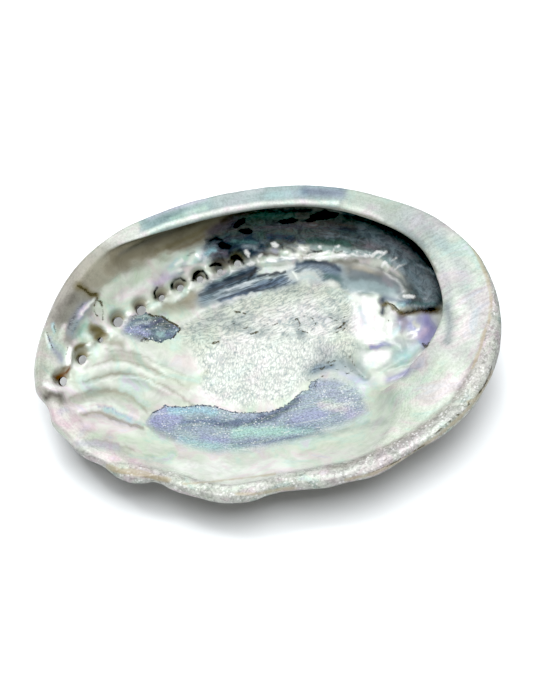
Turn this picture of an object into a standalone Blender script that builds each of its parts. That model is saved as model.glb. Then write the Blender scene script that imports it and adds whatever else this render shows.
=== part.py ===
"""An abalone shell lying on its back, open side up, as one closed solid.

Run it with blender --background --python part.py, or from the text editor.
Metres, +Z up. The origin is at the bottom centre of the shell's box: +X runs to
the spire end, +Y to the columellar shelf, and the thin outer lip is on the -Y side.
"""

import math

import bmesh
import bpy
import numpy as np
from mathutils import Vector
from mathutils.bvhtree import BVHTree

MM = 0.001

# Driving dimensions, in millimetres and degrees
# Angles run counter-clockwise in plan about the middle of the floor, from +X.
FLOOR_CENTRE = (1.7, 8.9)
RIM_STEP = 15.0
RIM_RADIUS = (
    73.4, 70.6, 64.6, 57.5, 52.6, 49.6,
    47.9, 48.0, 50.1, 54.6, 61.5, 68.2,
    73.8, 79.4, 79.7, 75.2, 70.0, 68.3,
    63.6, 63.6, 66.2, 68.6, 72.2, 73.8,
)
RIM_MID_HEIGHT = 33.5
RIM_RISE_PER_X = 0.050
RIM_RISE_PER_Y = 0.100
FLOOR_HEIGHT = 4.0
WALL = 4.2
WORN_DEPTH = 0.7

# The shelf: its width from the rim's outer edge to its free edge, by angle
SHELF_WIDTH = (
    (0.0, 18.0), (15.0, 15.5), (35.0, 12.0), (60.0, 9.3), (90.0, 7.6), (120.0, 7.0), (145.0, 6.8),
    (158.0, 3.5), (175.0, 4.5), (240.0, 5.0), (300.0, 10.0), (330.0, 23.0), (346.0, 21.5),
)
SHELF_DROP = 1.8
SHELF_DROP_HALFWAY = 0.72
SHELF_EDGE_THICKNESS = 2.2
SHELF_EDGE_ROUND = 1.0
SHELF_ROOT_DROP = 1.6
SHELF_RIM_WIDTH = 1.8
SHELF_RIM_DROP = 1.6
OVERHANG_HEIGHT = 8.0

# The plain outer lip: its band's foot and shoulder, and its rounded crest
LIP_WIDTH = 5.0
LIP_DROP = 0.7
BAND_FOOT = (4.0, 0.35)
BAND_SHOULDER = (2.8, 0.1)
CREST_WIDTH = 1.4
CREST_DROP = 1.3

# How much of a section is overhung by the shelf, and how much is the ramp that
# the shelf winds down to the spire on, by angle. What is left of 1 is plain lip.
SHELF_SHARE = (
    (0.0, 1.0), (60.0, 1.0), (120.0, 1.0), (145.0, 0.75), (165.0, 0.0), (230.0, 0.0),
    (295.0, 0.0), (334.0, 0.0), (341.0, 0.5), (348.0, 0.95), (354.0, 1.0),
)
RAMP_SHARE = (
    (0.0, 0.0), (90.0, 0.0), (180.0, 0.0), (270.0, 0.0), (295.0, 0.0),
    (318.0, 0.5), (334.0, 1.0), (341.0, 0.5), (348.0, 0.05), (354.0, 0.0),
)

# Section profiles: share of the radius, then share of the height
SHELF_INSIDE = (
    (0.0, 0.0), (0.30, 0.03), (0.55, 0.13), (0.74, 0.30), (0.88, 0.53), (0.97, 0.78), (1.0, 1.0),
)
SHELF_OUTSIDE = (
    (1.0, 0.74), (0.97, 0.56), (0.875, 0.365), (0.735, 0.21), (0.54, 0.085), (0.29, 0.012), (0.0, 0.0),
)
LIP_INSIDE = (
    (0.0, 0.0), (0.25, 0.03), (0.45, 0.12), (0.62, 0.29), (0.77, 0.52),
    (0.88, 0.745), (0.93, 0.85), (0.96, 0.915), (0.98, 0.96), (1.0, 1.0),
)
LIP_OUTSIDE = (
    (0.97, 0.86), (0.865, 0.66), (0.748, 0.455), (0.60, 0.26), (0.433, 0.105), (0.24, 0.018), (0.0, 0.0),
)
RAMP_INSIDE = (
    (0.0, 0.0), (0.25, 0.02), (0.42, 0.055), (0.50, 0.115), (0.545, 0.21), (0.57, 0.33),
    (0.59, 0.43), (0.605, 0.51), (0.62, 0.57), (0.64, 0.62), (0.685, 0.69), (0.80, 0.82),
)
RAMP_OUTSIDE = (
    (0.97, 0.87), (0.865, 0.72), (0.748, 0.56), (0.60, 0.29), (0.433, 0.105), (0.24, 0.018), (0.0, 0.0),
)

# The spire: a hollow inside the right end and a low cone outside it
SPIRE_PLACE = (52.0, 15.0)
SPIRE_RADIUS = 11.0
SPIRE_DEPTH = 2.6

# The row of breathing holes, from the newest, and the keel that it stands on
ROW_PATH = (
    (-66.3, -10.7), (-56.0, 7.5), (-43.0, 22.3), (-23.0, 37.2), (0.0, 44.5),
    (20.0, 46.0), (38.0, 42.0), (47.0, 35.0), (47.5, 29.0),
)
KEEL_HEIGHT = 1.6
KEEL_WIDTH = 4.5
KEEL_SLANT = 0.7
HOLE_COUNT = 10
HOLE_SPACING = 11.4
HOLE_SPACING_RATIO = 0.94
HOLE_RADIUS = 1.45
HOLE_SIDES = 12
HOLE_CUTTER_LENGTH = 16.0
BELOW_SHELF = 30.0

# Fineness of the loft: columns round it, and rows in each span of a section
COLUMNS = 96
INSIDE_ROWS = (1, 2, 2, 2, 2, 2, 1, 1, 1, 1, 1, 1)
OUTSIDE_ROWS = (1, 1, 2, 2, 2, 2, 2, 1)
PATH_STEPS = 24


def clear_scene():
    """Removes what a new file opens with."""
    for thing in list(bpy.data.objects):
        bpy.data.objects.remove(thing, do_unlink=True)


def hermite(start, end, slope_in, slope_out, t):
    """A cubic from start to end with the given end slopes, at t from 0 to 1."""
    return (
        (2 * t**3 - 3 * t**2 + 1) * start
        + (t**3 - 2 * t**2 + t) * slope_in
        + (-2 * t**3 + 3 * t**2) * end
        + (t**3 - t**2) * slope_out
    )


def loop_value(table, degrees):
    """A smooth closed curve through (angle, value) pairs, read at one angle."""
    count = len(table)
    degrees = degrees % 360.0
    after = next((i for i, pair in enumerate(table) if pair[0] > degrees), count)

    def knot(i):
        turns, place = divmod(i, count)
        return table[place][0] + 360.0 * turns, table[place][1]

    (a0, v0), (a1, v1), (a2, v2), (a3, v3) = (knot(after + k) for k in (-2, -1, 0, 1))
    span = a2 - a1
    slope_in = (v2 - v0) / (a2 - a0) * span
    slope_out = (v3 - v1) / (a3 - a1) * span
    return hermite(v1, v2, slope_in, slope_out, (degrees - a1) / span)


def share_value(table, degrees):
    """As loop_value, kept between 0 and 1."""
    return min(max(loop_value(table, degrees), 0.0), 1.0)


def rim_radius(degrees):
    """Plan radius of the rim's outer edge."""
    return loop_value([(i * RIM_STEP, radius) for i, radius in enumerate(RIM_RADIUS)], degrees)


def rim_height(degrees):
    """Height of the rim, which lies in one tilted plane."""
    x = FLOOR_CENTRE[0] + rim_radius(degrees) * math.cos(math.radians(degrees))
    y = FLOOR_CENTRE[1] + rim_radius(degrees) * math.sin(math.radians(degrees))
    return RIM_MID_HEIGHT + RIM_RISE_PER_X * x + RIM_RISE_PER_Y * y


def inside(profile, reach, rise):
    """An inner profile as (r, z) points, from the floor's centre outwards."""
    return [(share * reach, FLOOR_HEIGHT + lift * rise) for share, lift in profile]


def outside(profile, radius, height):
    """An outer profile as (r, z) points, from below the rim to the base's centre."""
    return [(share * radius, lift * height) for share, lift in profile]


def shelf_section(radius, height, width):
    """Half a section where the shelf overhangs the wall, from floor to base."""
    wall = radius - WALL
    edge = radius - width
    top = height - SHELF_DROP
    underside = top - SHELF_EDGE_THICKNESS
    shelf = [
        ((wall + edge) / 2, underside - SHELF_ROOT_DROP),
        (edge + SHELF_EDGE_ROUND, underside),
        (edge, (top + underside) / 2),
        (edge + SHELF_EDGE_ROUND, top),
        (radius - width / 2, height - SHELF_DROP_HALFWAY),
        (radius - SHELF_RIM_WIDTH, height),
        (radius, height - SHELF_RIM_DROP),
    ]
    rise = height - OVERHANG_HEIGHT - FLOOR_HEIGHT
    return inside(SHELF_INSIDE, wall, rise) + shelf + outside(SHELF_OUTSIDE, radius, height)


def lip_crest(radius, height):
    """The rounded crest of the lip."""
    return [(radius - CREST_WIDTH, height), (radius, height - CREST_DROP)]


def lip_section(radius, height):
    """Half a section at the plain outer lip, from floor to base."""
    band = [(radius - width, height - drop) for width, drop in (BAND_FOOT, BAND_SHOULDER)]
    inner = inside(LIP_INSIDE, radius - LIP_WIDTH, height - LIP_DROP - FLOOR_HEIGHT)
    return inner + band + lip_crest(radius, height) + outside(LIP_OUTSIDE, radius, height)


def ramp_section(radius, height):
    """Half a section where the shelf winds down as a ramp, from floor to base."""
    inner = inside(RAMP_INSIDE, radius, height - FLOOR_HEIGHT)
    return inner + lip_crest(radius, height) + outside(RAMP_OUTSIDE, radius, height)


def section(degrees):
    """The section's control points at one angle, as an array of (r, z)."""
    radius = rim_radius(degrees)
    height = rim_height(degrees)
    shelf = share_value(SHELF_SHARE, degrees)
    ramp = min(share_value(RAMP_SHARE, degrees), 1.0 - shelf)
    return (
        shelf * np.array(shelf_section(radius, height, loop_value(SHELF_WIDTH, degrees)))
        + ramp * np.array(ramp_section(radius, height))
        + (1.0 - shelf - ramp) * np.array(lip_section(radius, height))
    )


def smooth_rows(points, rows_per_span):
    """Rows of a smooth curve through the section's control points, level at both poles."""
    before = points[1] * (-1.0, 1.0)
    after = points[-2] * (-1.0, 1.0)
    knots = np.vstack([before, points, after])
    rows = [points[0]]
    for i, count in enumerate(rows_per_span):
        p0, p1, p2, p3 = knots[i : i + 4]
        d1, d2, d3 = (math.sqrt(np.linalg.norm(b - a)) for a, b in ((p0, p1), (p1, p2), (p2, p3)))
        slope_in = ((p1 - p0) / d1 - (p2 - p0) / (d1 + d2) + (p2 - p1) / d2) * d2
        slope_out = ((p2 - p1) / d2 - (p3 - p1) / (d2 + d3) + (p3 - p2) / d3) * d2
        for step in range(1, count + 1):
            rows.append(hermite(p1, p2, slope_in, slope_out, step / count))
    return np.array(rows)


def smooth_path(points):
    """Plan points along a smooth open curve through the given ones."""
    knots = np.array([points[0], *points, points[-1]])
    path = []
    for p0, p1, p2, p3 in zip(knots, knots[1:], knots[2:], knots[3:]):
        for step in range(PATH_STEPS):
            path.append(hermite(p1, p2, (p2 - p0) / 2, (p3 - p1) / 2, step / PATH_STEPS))
    path.append(knots[-1])
    return np.array(path)


def along_path(path, distance):
    """The plan point at a distance along a path."""
    steps = np.linalg.norm(np.diff(path, axis=0), axis=1)
    travelled = np.concatenate([[0.0], np.cumsum(steps)])
    return [np.interp(distance, travelled, path[:, axis]) for axis in (0, 1)]


def shaped(r, z, angle, is_outside, row_path):
    """A section's point in place, with the spire, the keel and the worn flat below added."""
    outward = np.array([math.cos(angle), math.sin(angle)])
    place = np.array(FLOOR_CENTRE) + r * outward
    on_inside = place - WALL * KEEL_SLANT * outward if is_outside else place
    from_row = np.linalg.norm(row_path - on_inside, axis=1).min()
    keel = KEEL_SLANT * KEEL_HEIGHT * math.exp(-((from_row / KEEL_WIDTH) ** 2))
    from_spire = np.linalg.norm(place - SPIRE_PLACE)
    spire = SPIRE_DEPTH * math.exp(-((from_spire / SPIRE_RADIUS) ** 2))
    x, y = place + keel * outward
    z -= keel + spire
    if is_outside:
        z = max(z - WORN_DEPTH, 0.0)
    return Vector((x, y, z)) * MM


def loft_shell(row_path):
    """The shell's closed mesh, lofted round the floor's centre from section to section."""
    mesh = bmesh.new()
    rim_row = sum(INSIDE_ROWS)
    rings = []
    for column in range(COLUMNS):
        degrees = 360.0 * column / COLUMNS
        rows = smooth_rows(section(degrees), INSIDE_ROWS + OUTSIDE_ROWS)
        ring = []
        for row, (r, z) in enumerate(rows[1:-1], start=1):
            ring.append(mesh.verts.new(shaped(r, z, math.radians(degrees), row > rim_row, row_path)))
        rings.append(ring)
    floor = mesh.verts.new(Vector((*FLOOR_CENTRE, FLOOR_HEIGHT)) * MM)
    base = mesh.verts.new(Vector((*FLOOR_CENTRE, 0.0)) * MM)
    for ring, following in zip(rings, rings[1:] + rings[:1]):
        mesh.faces.new((floor, ring[0], following[0]))
        for row in range(len(ring) - 1):
            mesh.faces.new((ring[row], ring[row + 1], following[row + 1], following[row]))
        mesh.faces.new((ring[-1], base, following[-1]))
    bmesh.ops.recalc_face_normals(mesh, faces=mesh.faces)
    return mesh


def hole_cutter(name, place, direction, collection):
    """A pin through the wall, square to it."""
    bpy.ops.mesh.primitive_cylinder_add(
        vertices=HOLE_SIDES,
        radius=HOLE_RADIUS * MM,
        depth=HOLE_CUTTER_LENGTH * MM,
        location=place,
        rotation=direction.to_track_quat("Z", "Y").to_euler(),
    )
    cutter = bpy.context.object
    cutter.name = name
    cutter.hide_render = True
    cutter.display_type = "WIRE"
    for holder in list(cutter.users_collection):
        holder.objects.unlink(cutter)
    collection.objects.link(cutter)
    return cutter


def hole_cutters(shell_mesh, row_path, collection):
    """One cutter for each open hole, closer together towards the spire."""
    tree = BVHTree.FromBMesh(shell_mesh)
    distance = 0.0
    spacing = HOLE_SPACING
    cutters = []
    for number in range(HOLE_COUNT):
        above = Vector((*along_path(row_path, distance), BELOW_SHELF)) * MM
        place, normal, _, _ = tree.ray_cast(above, Vector((0.0, 0.0, -1.0)))
        cutters.append(hole_cutter(f"hole_cutter_{number + 1}", place, normal, collection))
        distance += spacing
        spacing *= HOLE_SPACING_RATIO
    return cutters


def nacre_material():
    """Pale mother-of-pearl."""
    material = bpy.data.materials.new("nacre")
    material.use_nodes = True
    shader = material.node_tree.nodes["Principled BSDF"]
    shader.inputs["Base Color"].default_value = (0.70, 0.74, 0.70, 1.0)
    shader.inputs["Roughness"].default_value = 0.3
    shader.inputs["Metallic"].default_value = 0.0
    return material


def main():
    """Builds the shell and cuts its open holes."""
    clear_scene()
    shell_collection = bpy.data.collections.new("Abalone shell")
    cutter_collection = bpy.data.collections.new("Cutters")
    for collection in (shell_collection, cutter_collection):
        bpy.context.scene.collection.children.link(collection)

    row_path = smooth_path(ROW_PATH)
    mesh = loft_shell(row_path)
    data = bpy.data.meshes.new("abalone_shell")
    mesh.to_mesh(data)
    data.materials.append(nacre_material())
    data.shade_smooth()
    shell = bpy.data.objects.new("abalone_shell", data)
    shell_collection.objects.link(shell)

    for cutter in hole_cutters(mesh, row_path, cutter_collection):
        cut = shell.modifiers.new(cutter.name, "BOOLEAN")
        cut.operation = "DIFFERENCE"
        cut.solver = "EXACT"
        cut.object = cutter
    mesh.free()


main()
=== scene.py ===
"""The looks of an abalone shell that lies on its back: nacre inside, a worn crust outside.

The shell is one closed mesh, lofted like the CAD solid but finely, and then shaped: folds,
breathing holes, the closed bumps of old holes, the spire, growth lines and cords.
Lengths are in millimetres until the mesh is made. Lines and outlines marked as photo pixels
are in the 533 x 693 frame, and lie on the shell where the camera's rays meet it.
"""

import itertools
import math

import bpy
import numpy as np
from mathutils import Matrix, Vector
from mathutils.kdtree import KDTree


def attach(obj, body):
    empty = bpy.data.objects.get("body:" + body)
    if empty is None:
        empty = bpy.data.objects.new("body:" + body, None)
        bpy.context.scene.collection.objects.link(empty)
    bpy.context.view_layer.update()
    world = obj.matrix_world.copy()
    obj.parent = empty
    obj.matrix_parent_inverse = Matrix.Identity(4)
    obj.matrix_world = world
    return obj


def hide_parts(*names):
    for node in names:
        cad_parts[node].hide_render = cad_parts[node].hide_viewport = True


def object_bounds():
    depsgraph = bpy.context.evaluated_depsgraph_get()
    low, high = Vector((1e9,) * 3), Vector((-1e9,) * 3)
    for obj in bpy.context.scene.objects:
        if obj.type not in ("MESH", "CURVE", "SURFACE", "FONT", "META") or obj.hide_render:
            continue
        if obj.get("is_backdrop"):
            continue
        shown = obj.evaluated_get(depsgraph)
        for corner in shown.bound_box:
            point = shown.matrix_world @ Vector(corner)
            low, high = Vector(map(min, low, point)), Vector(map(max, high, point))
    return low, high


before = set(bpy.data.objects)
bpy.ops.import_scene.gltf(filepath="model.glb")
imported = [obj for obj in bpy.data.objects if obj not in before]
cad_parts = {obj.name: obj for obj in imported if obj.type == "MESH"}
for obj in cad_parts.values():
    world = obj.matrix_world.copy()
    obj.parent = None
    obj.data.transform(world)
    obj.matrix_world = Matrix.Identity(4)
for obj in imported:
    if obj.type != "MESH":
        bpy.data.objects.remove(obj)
cad_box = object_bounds()

MM = 0.001

# The plain floor, and how far it goes on to each side
FLOOR_REACH = 30000.0
FLOOR_TINT = (0.80, 0.83, 0.85, 1.0)
FLOOR_ROUGHNESS = 0.8

# The photograph's frame, and the camera that fits the shell's outline in it
PHOTO_WIDTH = 533
PHOTO_HEIGHT = 693
SENSOR = 36.0
LENS = 88.0
CAMERA_ELEVATION = 57.0
CAMERA_DISTANCE = 560.0
CAMERA_TARGET = (-0.3, 3.3, 20.0)

# Light below this level shows as black
BLACK_LEVEL = 0.03

# Lights: name, place and size in metres, power in watts
LIGHTS = (
    ("softbox", (0.02, -0.14, 0.76), 0.43, 7.2),
    ("glint", (-0.25, -0.05, 0.70), 0.08, 0.9),
    ("backlight", (-0.15, 0.45, 0.55), 0.25, 1.8),
)
LIGHT_TARGET = (0.0, 0.0, 0.02)

# The surround's strength at the horizon, its greatest, and how far up that is reached
HORIZON_STRENGTH = 0.26
OVERHEAD_STRENGTH = 0.46
OVERHEAD_START = 0.8

# The shell's driving dimensions, as in the CAD part
FLOOR_CENTRE = np.array((1.7, 8.9))
RIM_RADIUS = (
    73.4, 70.6, 64.6, 57.5, 52.6, 49.6,
    47.9, 48.0, 50.1, 54.6, 61.5, 68.2,
    73.8, 79.4, 79.7, 75.2, 70.0, 68.3,
    63.6, 63.6, 66.2, 68.6, 72.2, 73.8,
)
RIM_TABLE = [(15.0 * i, radius) for i, radius in enumerate(RIM_RADIUS)]
RIM_MID_HEIGHT = 33.5
RIM_RISE_PER_X = 0.050
RIM_RISE_PER_Y = 0.100
FLOOR_HEIGHT = 4.0
WALL = 4.2
WORN_DEPTH = 0.7
SHELF_WIDTH = (
    (0.0, 18.0), (15.0, 15.5), (35.0, 12.0), (60.0, 9.3), (90.0, 8.4), (120.0, 8.2), (145.0, 7.8),
    (158.0, 3.5), (175.0, 4.5), (240.0, 5.0), (300.0, 10.0), (330.0, 23.0), (346.0, 21.5),
)
SHELF_DROP = 1.8
SHELF_DROP_HALFWAY = 0.72
SHELF_EDGE_THICKNESS = 2.2
SHELF_EDGE_ROUND = 1.0
SHELF_ROOT_DROP = 1.6
SHELF_RIM_WIDTH = 1.8
SHELF_RIM_DROP = 1.6
OVERHANG_HEIGHT = 8.0
LIP_WIDTH = 5.0
LIP_DROP = 0.7
BAND_FOOT = (4.0, 0.35)
BAND_SHOULDER = (2.8, 0.1)
CREST_WIDTH = 1.4
CREST_DROP = 1.3
SHELF_SHARE = (
    (0.0, 1.0), (60.0, 1.0), (120.0, 1.0), (145.0, 0.75), (165.0, 0.0), (230.0, 0.0),
    (295.0, 0.0), (334.0, 0.0), (341.0, 0.5), (348.0, 0.95), (354.0, 1.0),
)
RAMP_SHARE = (
    (0.0, 0.0), (90.0, 0.0), (180.0, 0.0), (270.0, 0.0), (295.0, 0.0),
    (318.0, 0.5), (334.0, 1.0), (341.0, 0.5), (348.0, 0.05), (354.0, 0.0),
)
SHELF_INSIDE = (
    (0.0, 0.0), (0.30, 0.03), (0.55, 0.13), (0.74, 0.30), (0.88, 0.53), (0.97, 0.78), (1.0, 1.0),
)
SHELF_OUTSIDE = (
    (1.0, 0.74), (0.97, 0.56), (0.875, 0.365), (0.735, 0.21), (0.54, 0.085), (0.29, 0.012), (0.0, 0.0),
)
LIP_INSIDE = (
    (0.0, 0.0), (0.25, 0.03), (0.45, 0.12), (0.62, 0.29), (0.77, 0.52),
    (0.88, 0.745), (0.93, 0.85), (0.96, 0.915), (0.98, 0.96), (1.0, 1.0),
)
LIP_OUTSIDE = (
    (0.97, 0.86), (0.865, 0.66), (0.748, 0.455), (0.60, 0.26), (0.433, 0.105), (0.24, 0.018), (0.0, 0.0),
)
RAMP_INSIDE = (
    (0.0, 0.0), (0.25, 0.02), (0.42, 0.055), (0.50, 0.115), (0.545, 0.21), (0.57, 0.33),
    (0.59, 0.43), (0.605, 0.51), (0.62, 0.57), (0.64, 0.62), (0.685, 0.69), (0.80, 0.82),
)
RAMP_OUTSIDE = (
    (0.97, 0.87), (0.865, 0.72), (0.748, 0.56), (0.60, 0.29), (0.433, 0.105), (0.24, 0.018), (0.0, 0.0),
)
SPIRE_PLACE = (52.0, 15.0)
SPIRE_RADIUS = 11.0
SPIRE_DEPTH = 2.6
ROW_PATH = (
    (-66.3, -10.7), (-56.0, 7.5), (-43.0, 22.3), (-23.0, 37.2), (0.0, 44.5),
    (20.0, 46.0), (38.0, 42.0), (47.0, 35.0), (47.5, 29.0),
)
KEEL_HEIGHT = 1.6
KEEL_WIDTH = 4.5
KEEL_SLANT = 0.7
HOLE_COUNT = 10
HOLE_SPACING = 11.4
HOLE_SPACING_RATIO = 0.94

# Stations along a section, counted in its control points: floor 0, free edge of the shelf 9,
# crest 12.5, base 20. A pair is where something starts and is complete, or starts to end and is gone.
STATIONS = 20
UNDERSIDE = 7.0
WALL_END = 7.5
SHELF_TOP = (8.4, 9.3)
CREST = 12.5
CREST_HALF_WIDTH = 0.5
RIM_END = 13.5
RELIEF_END = 9.5
RELIEF_END_SHIFT = 3.0
RELIEF_FADE = 1.2
LOBES_START = (6.0, 11.0)
LOBES_END = (13.5, 17.5)
BOWL_END = (13.6, 14.2)
LIP_END = (13.6, 14.4)
OUTSIDE_START = (13.2, 14.2)
CRUST_START = (12.8, 13.6)
CRUST_RISE = 1.2
SHEEN_START = (5.0, 9.0)

# Flow coordinates: how far along the surface the stations lie in millimetres, and a radius for angles
FLOW_TABLE = ((0, 7, 9, 12.5, 20), (0, 62, 72, 84, 160))
FLOW_RADIUS = 60.0

# Growth coordinates: the spiral's sweep in degrees, and radius and length of the tubes they lie on
SWEEP = 157.0
CRUST_TUBE = (40.0, 75.0)
RIDGE_TUBE = (3.0, 95.0)

# Fineness of the mesh
TABLE_STEP = 0.25
INSIDE_SPACING = 0.53
RIM_SPACING = 0.46
OUTSIDE_SPACING = 0.95
RING_SIZES = (24, 36, 48, 72, 96, 144, 192, 288, 384, 480, 576, 672, 768, 864)
STATION_STEPS = 40
MEASURED_SECTIONS = 96
PATH_STEPS = 24
LINE_STEPS = 6
SHARP_ANGLE = 50.0

# The outer lip's small lobes: angle, then how far the rim stands out
LOBES = (
    (0.0, 0.0), (40.0, 0.2), (90.0, -0.3), (150.0, 0.2), (195.0, 0.1), (200.0, 0.3), (204.5, -1.3),
    (209.0, 0.1), (214.0, -0.4), (220.0, 0.5), (225.0, -0.2), (229.0, 1.1), (233.5, 1.3), (238.0, -1.2),
    (243.0, -0.6), (252.0, -0.5), (258.0, 0.3), (264.0, 1.0), (269.0, 0.1), (273.0, -0.4),
    (278.0, -0.2), (286.0, 0.5), (292.0, 0.0), (298.0, 0.5), (305.0, -0.2), (311.5, -0.7),
    (318.0, 0.0), (332.0, 0.3), (345.0, 0.0),
)

# The share of a fold's length over which it starts; it ends over twice as much
FOLD_TAPER = 0.12

# Folds of the bowl at its lip end: height, half width in photo pixels, line in photo pixels
FOLDS = (
    (0.45, 6, (96, 355), (116, 347), (136, 350), (160, 366), (190, 388)),
    (-0.5, 5, (102, 363), (122, 356), (140, 361), (164, 377), (186, 394)),
    (0.55, 6, (74, 380), (96, 371), (120, 367), (148, 375), (178, 392)),
    (-0.6, 5, (84, 388), (100, 380), (118, 375), (134, 378), (158, 388), (178, 400)),
    (0.6, 6, (44, 390), (76, 391), (102, 383), (132, 386), (158, 396), (180, 408)),
    (-0.5, 4.5, (60, 402), (80, 400), (96, 394), (112, 392), (126, 396), (146, 406), (166, 414)),
    (0.6, 5.5, (62, 410), (80, 408), (100, 405), (120, 409), (142, 418)),
    (-0.3, 4, (70, 422), (90, 415), (108, 415), (126, 421), (146, 427)),
    (0.4, 5, (72, 430), (92, 424), (112, 427), (136, 434), (156, 440)),
    (-0.3, 5, (78, 446), (95, 443), (112, 446), (132, 454), (160, 461)),
)

# Ridges, grooves and bulges elsewhere in the bowl, in the same form; a bulge is a short, wide line
RELIEF = (
    (0.9, 3, (70, 351), (69, 362), (71, 373)),
    (0.7, 3, (75, 371), (82, 368), (89, 361)),
    (0.9, 3.5, (89, 346), (94, 341), (99, 334)),
    (0.7, 3, (103, 326), (108, 332), (115, 336)),
    (0.8, 3.5, (130, 316), (134, 312)),
    (0.8, 3.5, (154, 309), (159, 304)),
    (0.7, 3, (176, 300), (181, 296)),
    (0.8, 3, (188, 288), (192, 282)),
    (0.8, 3, (206, 270), (212, 275)),
    (1, 3.5, (198, 256), (199, 258)),
    (1, 4, (247, 252), (249, 255)),
    (1, 3.8, (250, 263), (253, 262)),
    (0.7, 3, (261, 256), (264, 253)),
    (1.1, 4.5, (275, 245), (276, 246)),
    (0.6, 3, (283, 252), (286, 253)),
    (0.9, 3, (299, 248), (305, 251)),
    (0.6, 2.6, (319, 248), (321, 248)),
    (0.6, 2.6, (336, 249), (338, 249)),
    (0.5, 2.6, (363, 254), (366, 254)),
    (0.7, 3, (375, 254), (383, 253)),
    (0.9, 4, (384, 264), (388, 262)),
    (0.7, 3, (400, 266), (405, 265)),
    (0.5, 4, (262, 262), (280, 261), (296, 258)),
    (0.8, 3.5, (306, 259), (322, 258), (340, 256), (360, 256), (385, 258)),
    (-0.15, 3.5, (306, 265), (330, 264), (360, 264), (380, 268), (398, 280)),
    (-0.45, 6, (205, 295), (220, 287), (236, 279), (253, 272)),
    (0.5, 3, (212, 283), (226, 277), (241, 270)),
    (0.4, 3, (228, 288), (250, 281), (280, 277)),
    (0.5, 9, (150, 318), (160, 324)),
    (1, 13, (364, 308), (368, 322)),
    (0.9, 7, (390, 318), (391, 328)),
    (-0.8, 3, (381, 300), (386, 312)),
    (1.1, 9, (374, 361), (384, 356)),
    (-0.7, 3, (362, 347), (376, 343), (390, 345), (402, 350)),
    (-0.9, 2.6, (348, 352), (352, 360), (357, 369), (366, 376)),
    (0.6, 3.5, (388, 372), (400, 368), (414, 361), (424, 352)),
    (-0.4, 3.5, (392, 380), (405, 375), (420, 364), (432, 352)),
    (0.8, 3, (404, 296), (414, 297), (424, 300)),
    (-1.3, 2.8, (400, 315), (408, 312), (420, 311), (438, 310)),
    (0.7, 3, (402, 305), (416, 306), (430, 306)),
    (0.8, 6, (411, 332), (417, 331)),
    (-0.8, 3, (425, 346), (432, 339), (438, 328)),
)

# The open holes, from the lip inward: place of the opening in photo pixels, radius, and the tint of the
# painted shade on its well's upper wall
HOLES = (
    (61.5, 381.0, 1.55, "rust"), (82.5, 359.5, 1.6, "olive"), (100.5, 339.5, 0.9, "olive"),
    (118.0, 323.0, 1.75, "olive"), (140.5, 309.5, 1.75, "umber"), (161.5, 298.5, 1.2, "umber"),
    (179.5, 288.5, 1.25, "umber"), (199.5, 280.0, 1.25, "ink"), (220.0, 271.0, 1.15, "slate"),
    (237.0, 263.5, 1.25, "ink"),
)

# Each hole's well, the funnel in it and the collar round it: lifts and reaches in photo pixels
WELL_LIFT = 4.0
WELL_REACH = 7.5
WELL_DEPTH = 1.1
WELL_SHADOW = np.array((-0.35, -0.94))
FUNNEL_LIFT = 1.0
FUNNEL_REACH = 4.6
FUNNEL_DEPTH = 0.9
COLLAR_REACH = 11.0
COLLAR_WIDTH = 3.5
COLLAR_HEIGHT = 0.35

# The pins that cut the holes
PIN_TOP = 4.0
PIN_FOOT = -12.0
PIN_SIDES = 28
PIN_LEAN = 0.03

# Relief of the scar, the lip's band and the shelf
SCAR_ROUGHNESS = 0.16
BAND_STEP = 0.15
BAND_ROUGHNESS = 0.12
SHELF_SWELL = 0.16

# Relief of the outside
CORD_COUNT = 34.0
CORD_HEIGHT = 0.22
WHORL_POINTS = 110
WHORL_ANGLE = 200.0
WHORL_TURNS = 2.6
WHORL_START = 1.2
WHORL_GROWTH = 0.185
SUTURE_WIDTH = 1.1
SUTURE_DEPTH = 0.8
CLOSED_HOLES = 7
TUBERCLE_HEIGHT = 1.9
OPEN_TUBERCLE_REACH = 3.2
CLOSED_TUBERCLE_REACH = 2.4

# Outlines in photo pixels
SCAR = (
    (194, 315), (222, 301), (255, 291), (282, 284), (309, 281), (340, 284), (352, 296), (358, 312),
    (356, 335), (359, 352), (346, 362), (330, 364), (318, 369), (309, 379), (300, 391), (284, 405),
    (262, 402), (244, 410), (222, 404), (202, 394), (198, 372), (192, 354), (182, 342), (180, 326),
)
BIG_PATCH = (
    (144, 423), (150, 415), (158, 410), (165, 406), (176, 407), (185, 407), (199, 405), (216, 407),
    (227, 411), (241, 413), (254, 413), (270, 412), (283, 407), (293, 400), (302, 392), (312, 384),
    (320, 378), (332, 373), (350, 374), (364, 381), (378, 390), (392, 402), (400, 418), (396, 440),
    (330, 462), (240, 474), (190, 468), (168, 446), (158, 438), (150, 430),
)
BIG_PATCH_DEPTH = (
    (147, 424), (156, 405), (168, 396), (215, 396), (262, 402), (292, 388), (314, 379), (337, 380),
    (356, 388), (363, 399), (366, 411), (346, 423), (318, 433), (280, 444), (244, 451), (212, 451),
    (186, 445), (170, 438), (157, 431),
)
SMALL_PATCH = (
    (120, 318), (136, 315), (147, 313), (153, 316), (161, 316), (169, 321), (176, 325), (181, 329),
    (177, 333), (173, 338), (167, 339), (161, 343), (152, 340), (146, 339), (138, 344), (120, 344),
)
SMALL_PATCH_DEPTH = (
    (124, 326), (132, 317), (147, 310), (166, 315), (184, 326), (180, 338), (164, 346), (146, 342),
    (136, 338), (124, 333),
)
PURPLE_SHEET = (
    (400, 317), (410, 314), (425, 315), (440, 312), (442, 322), (437, 333), (431, 342), (425, 348),
    (416, 340), (404, 337), (399, 329),
)
SHELF_LEAF = (
    (139, 190), (139, 236), (180, 232), (230, 220), (280, 212), (337, 212), (340, 204), (347, 197),
    (350, 180),
)
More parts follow.
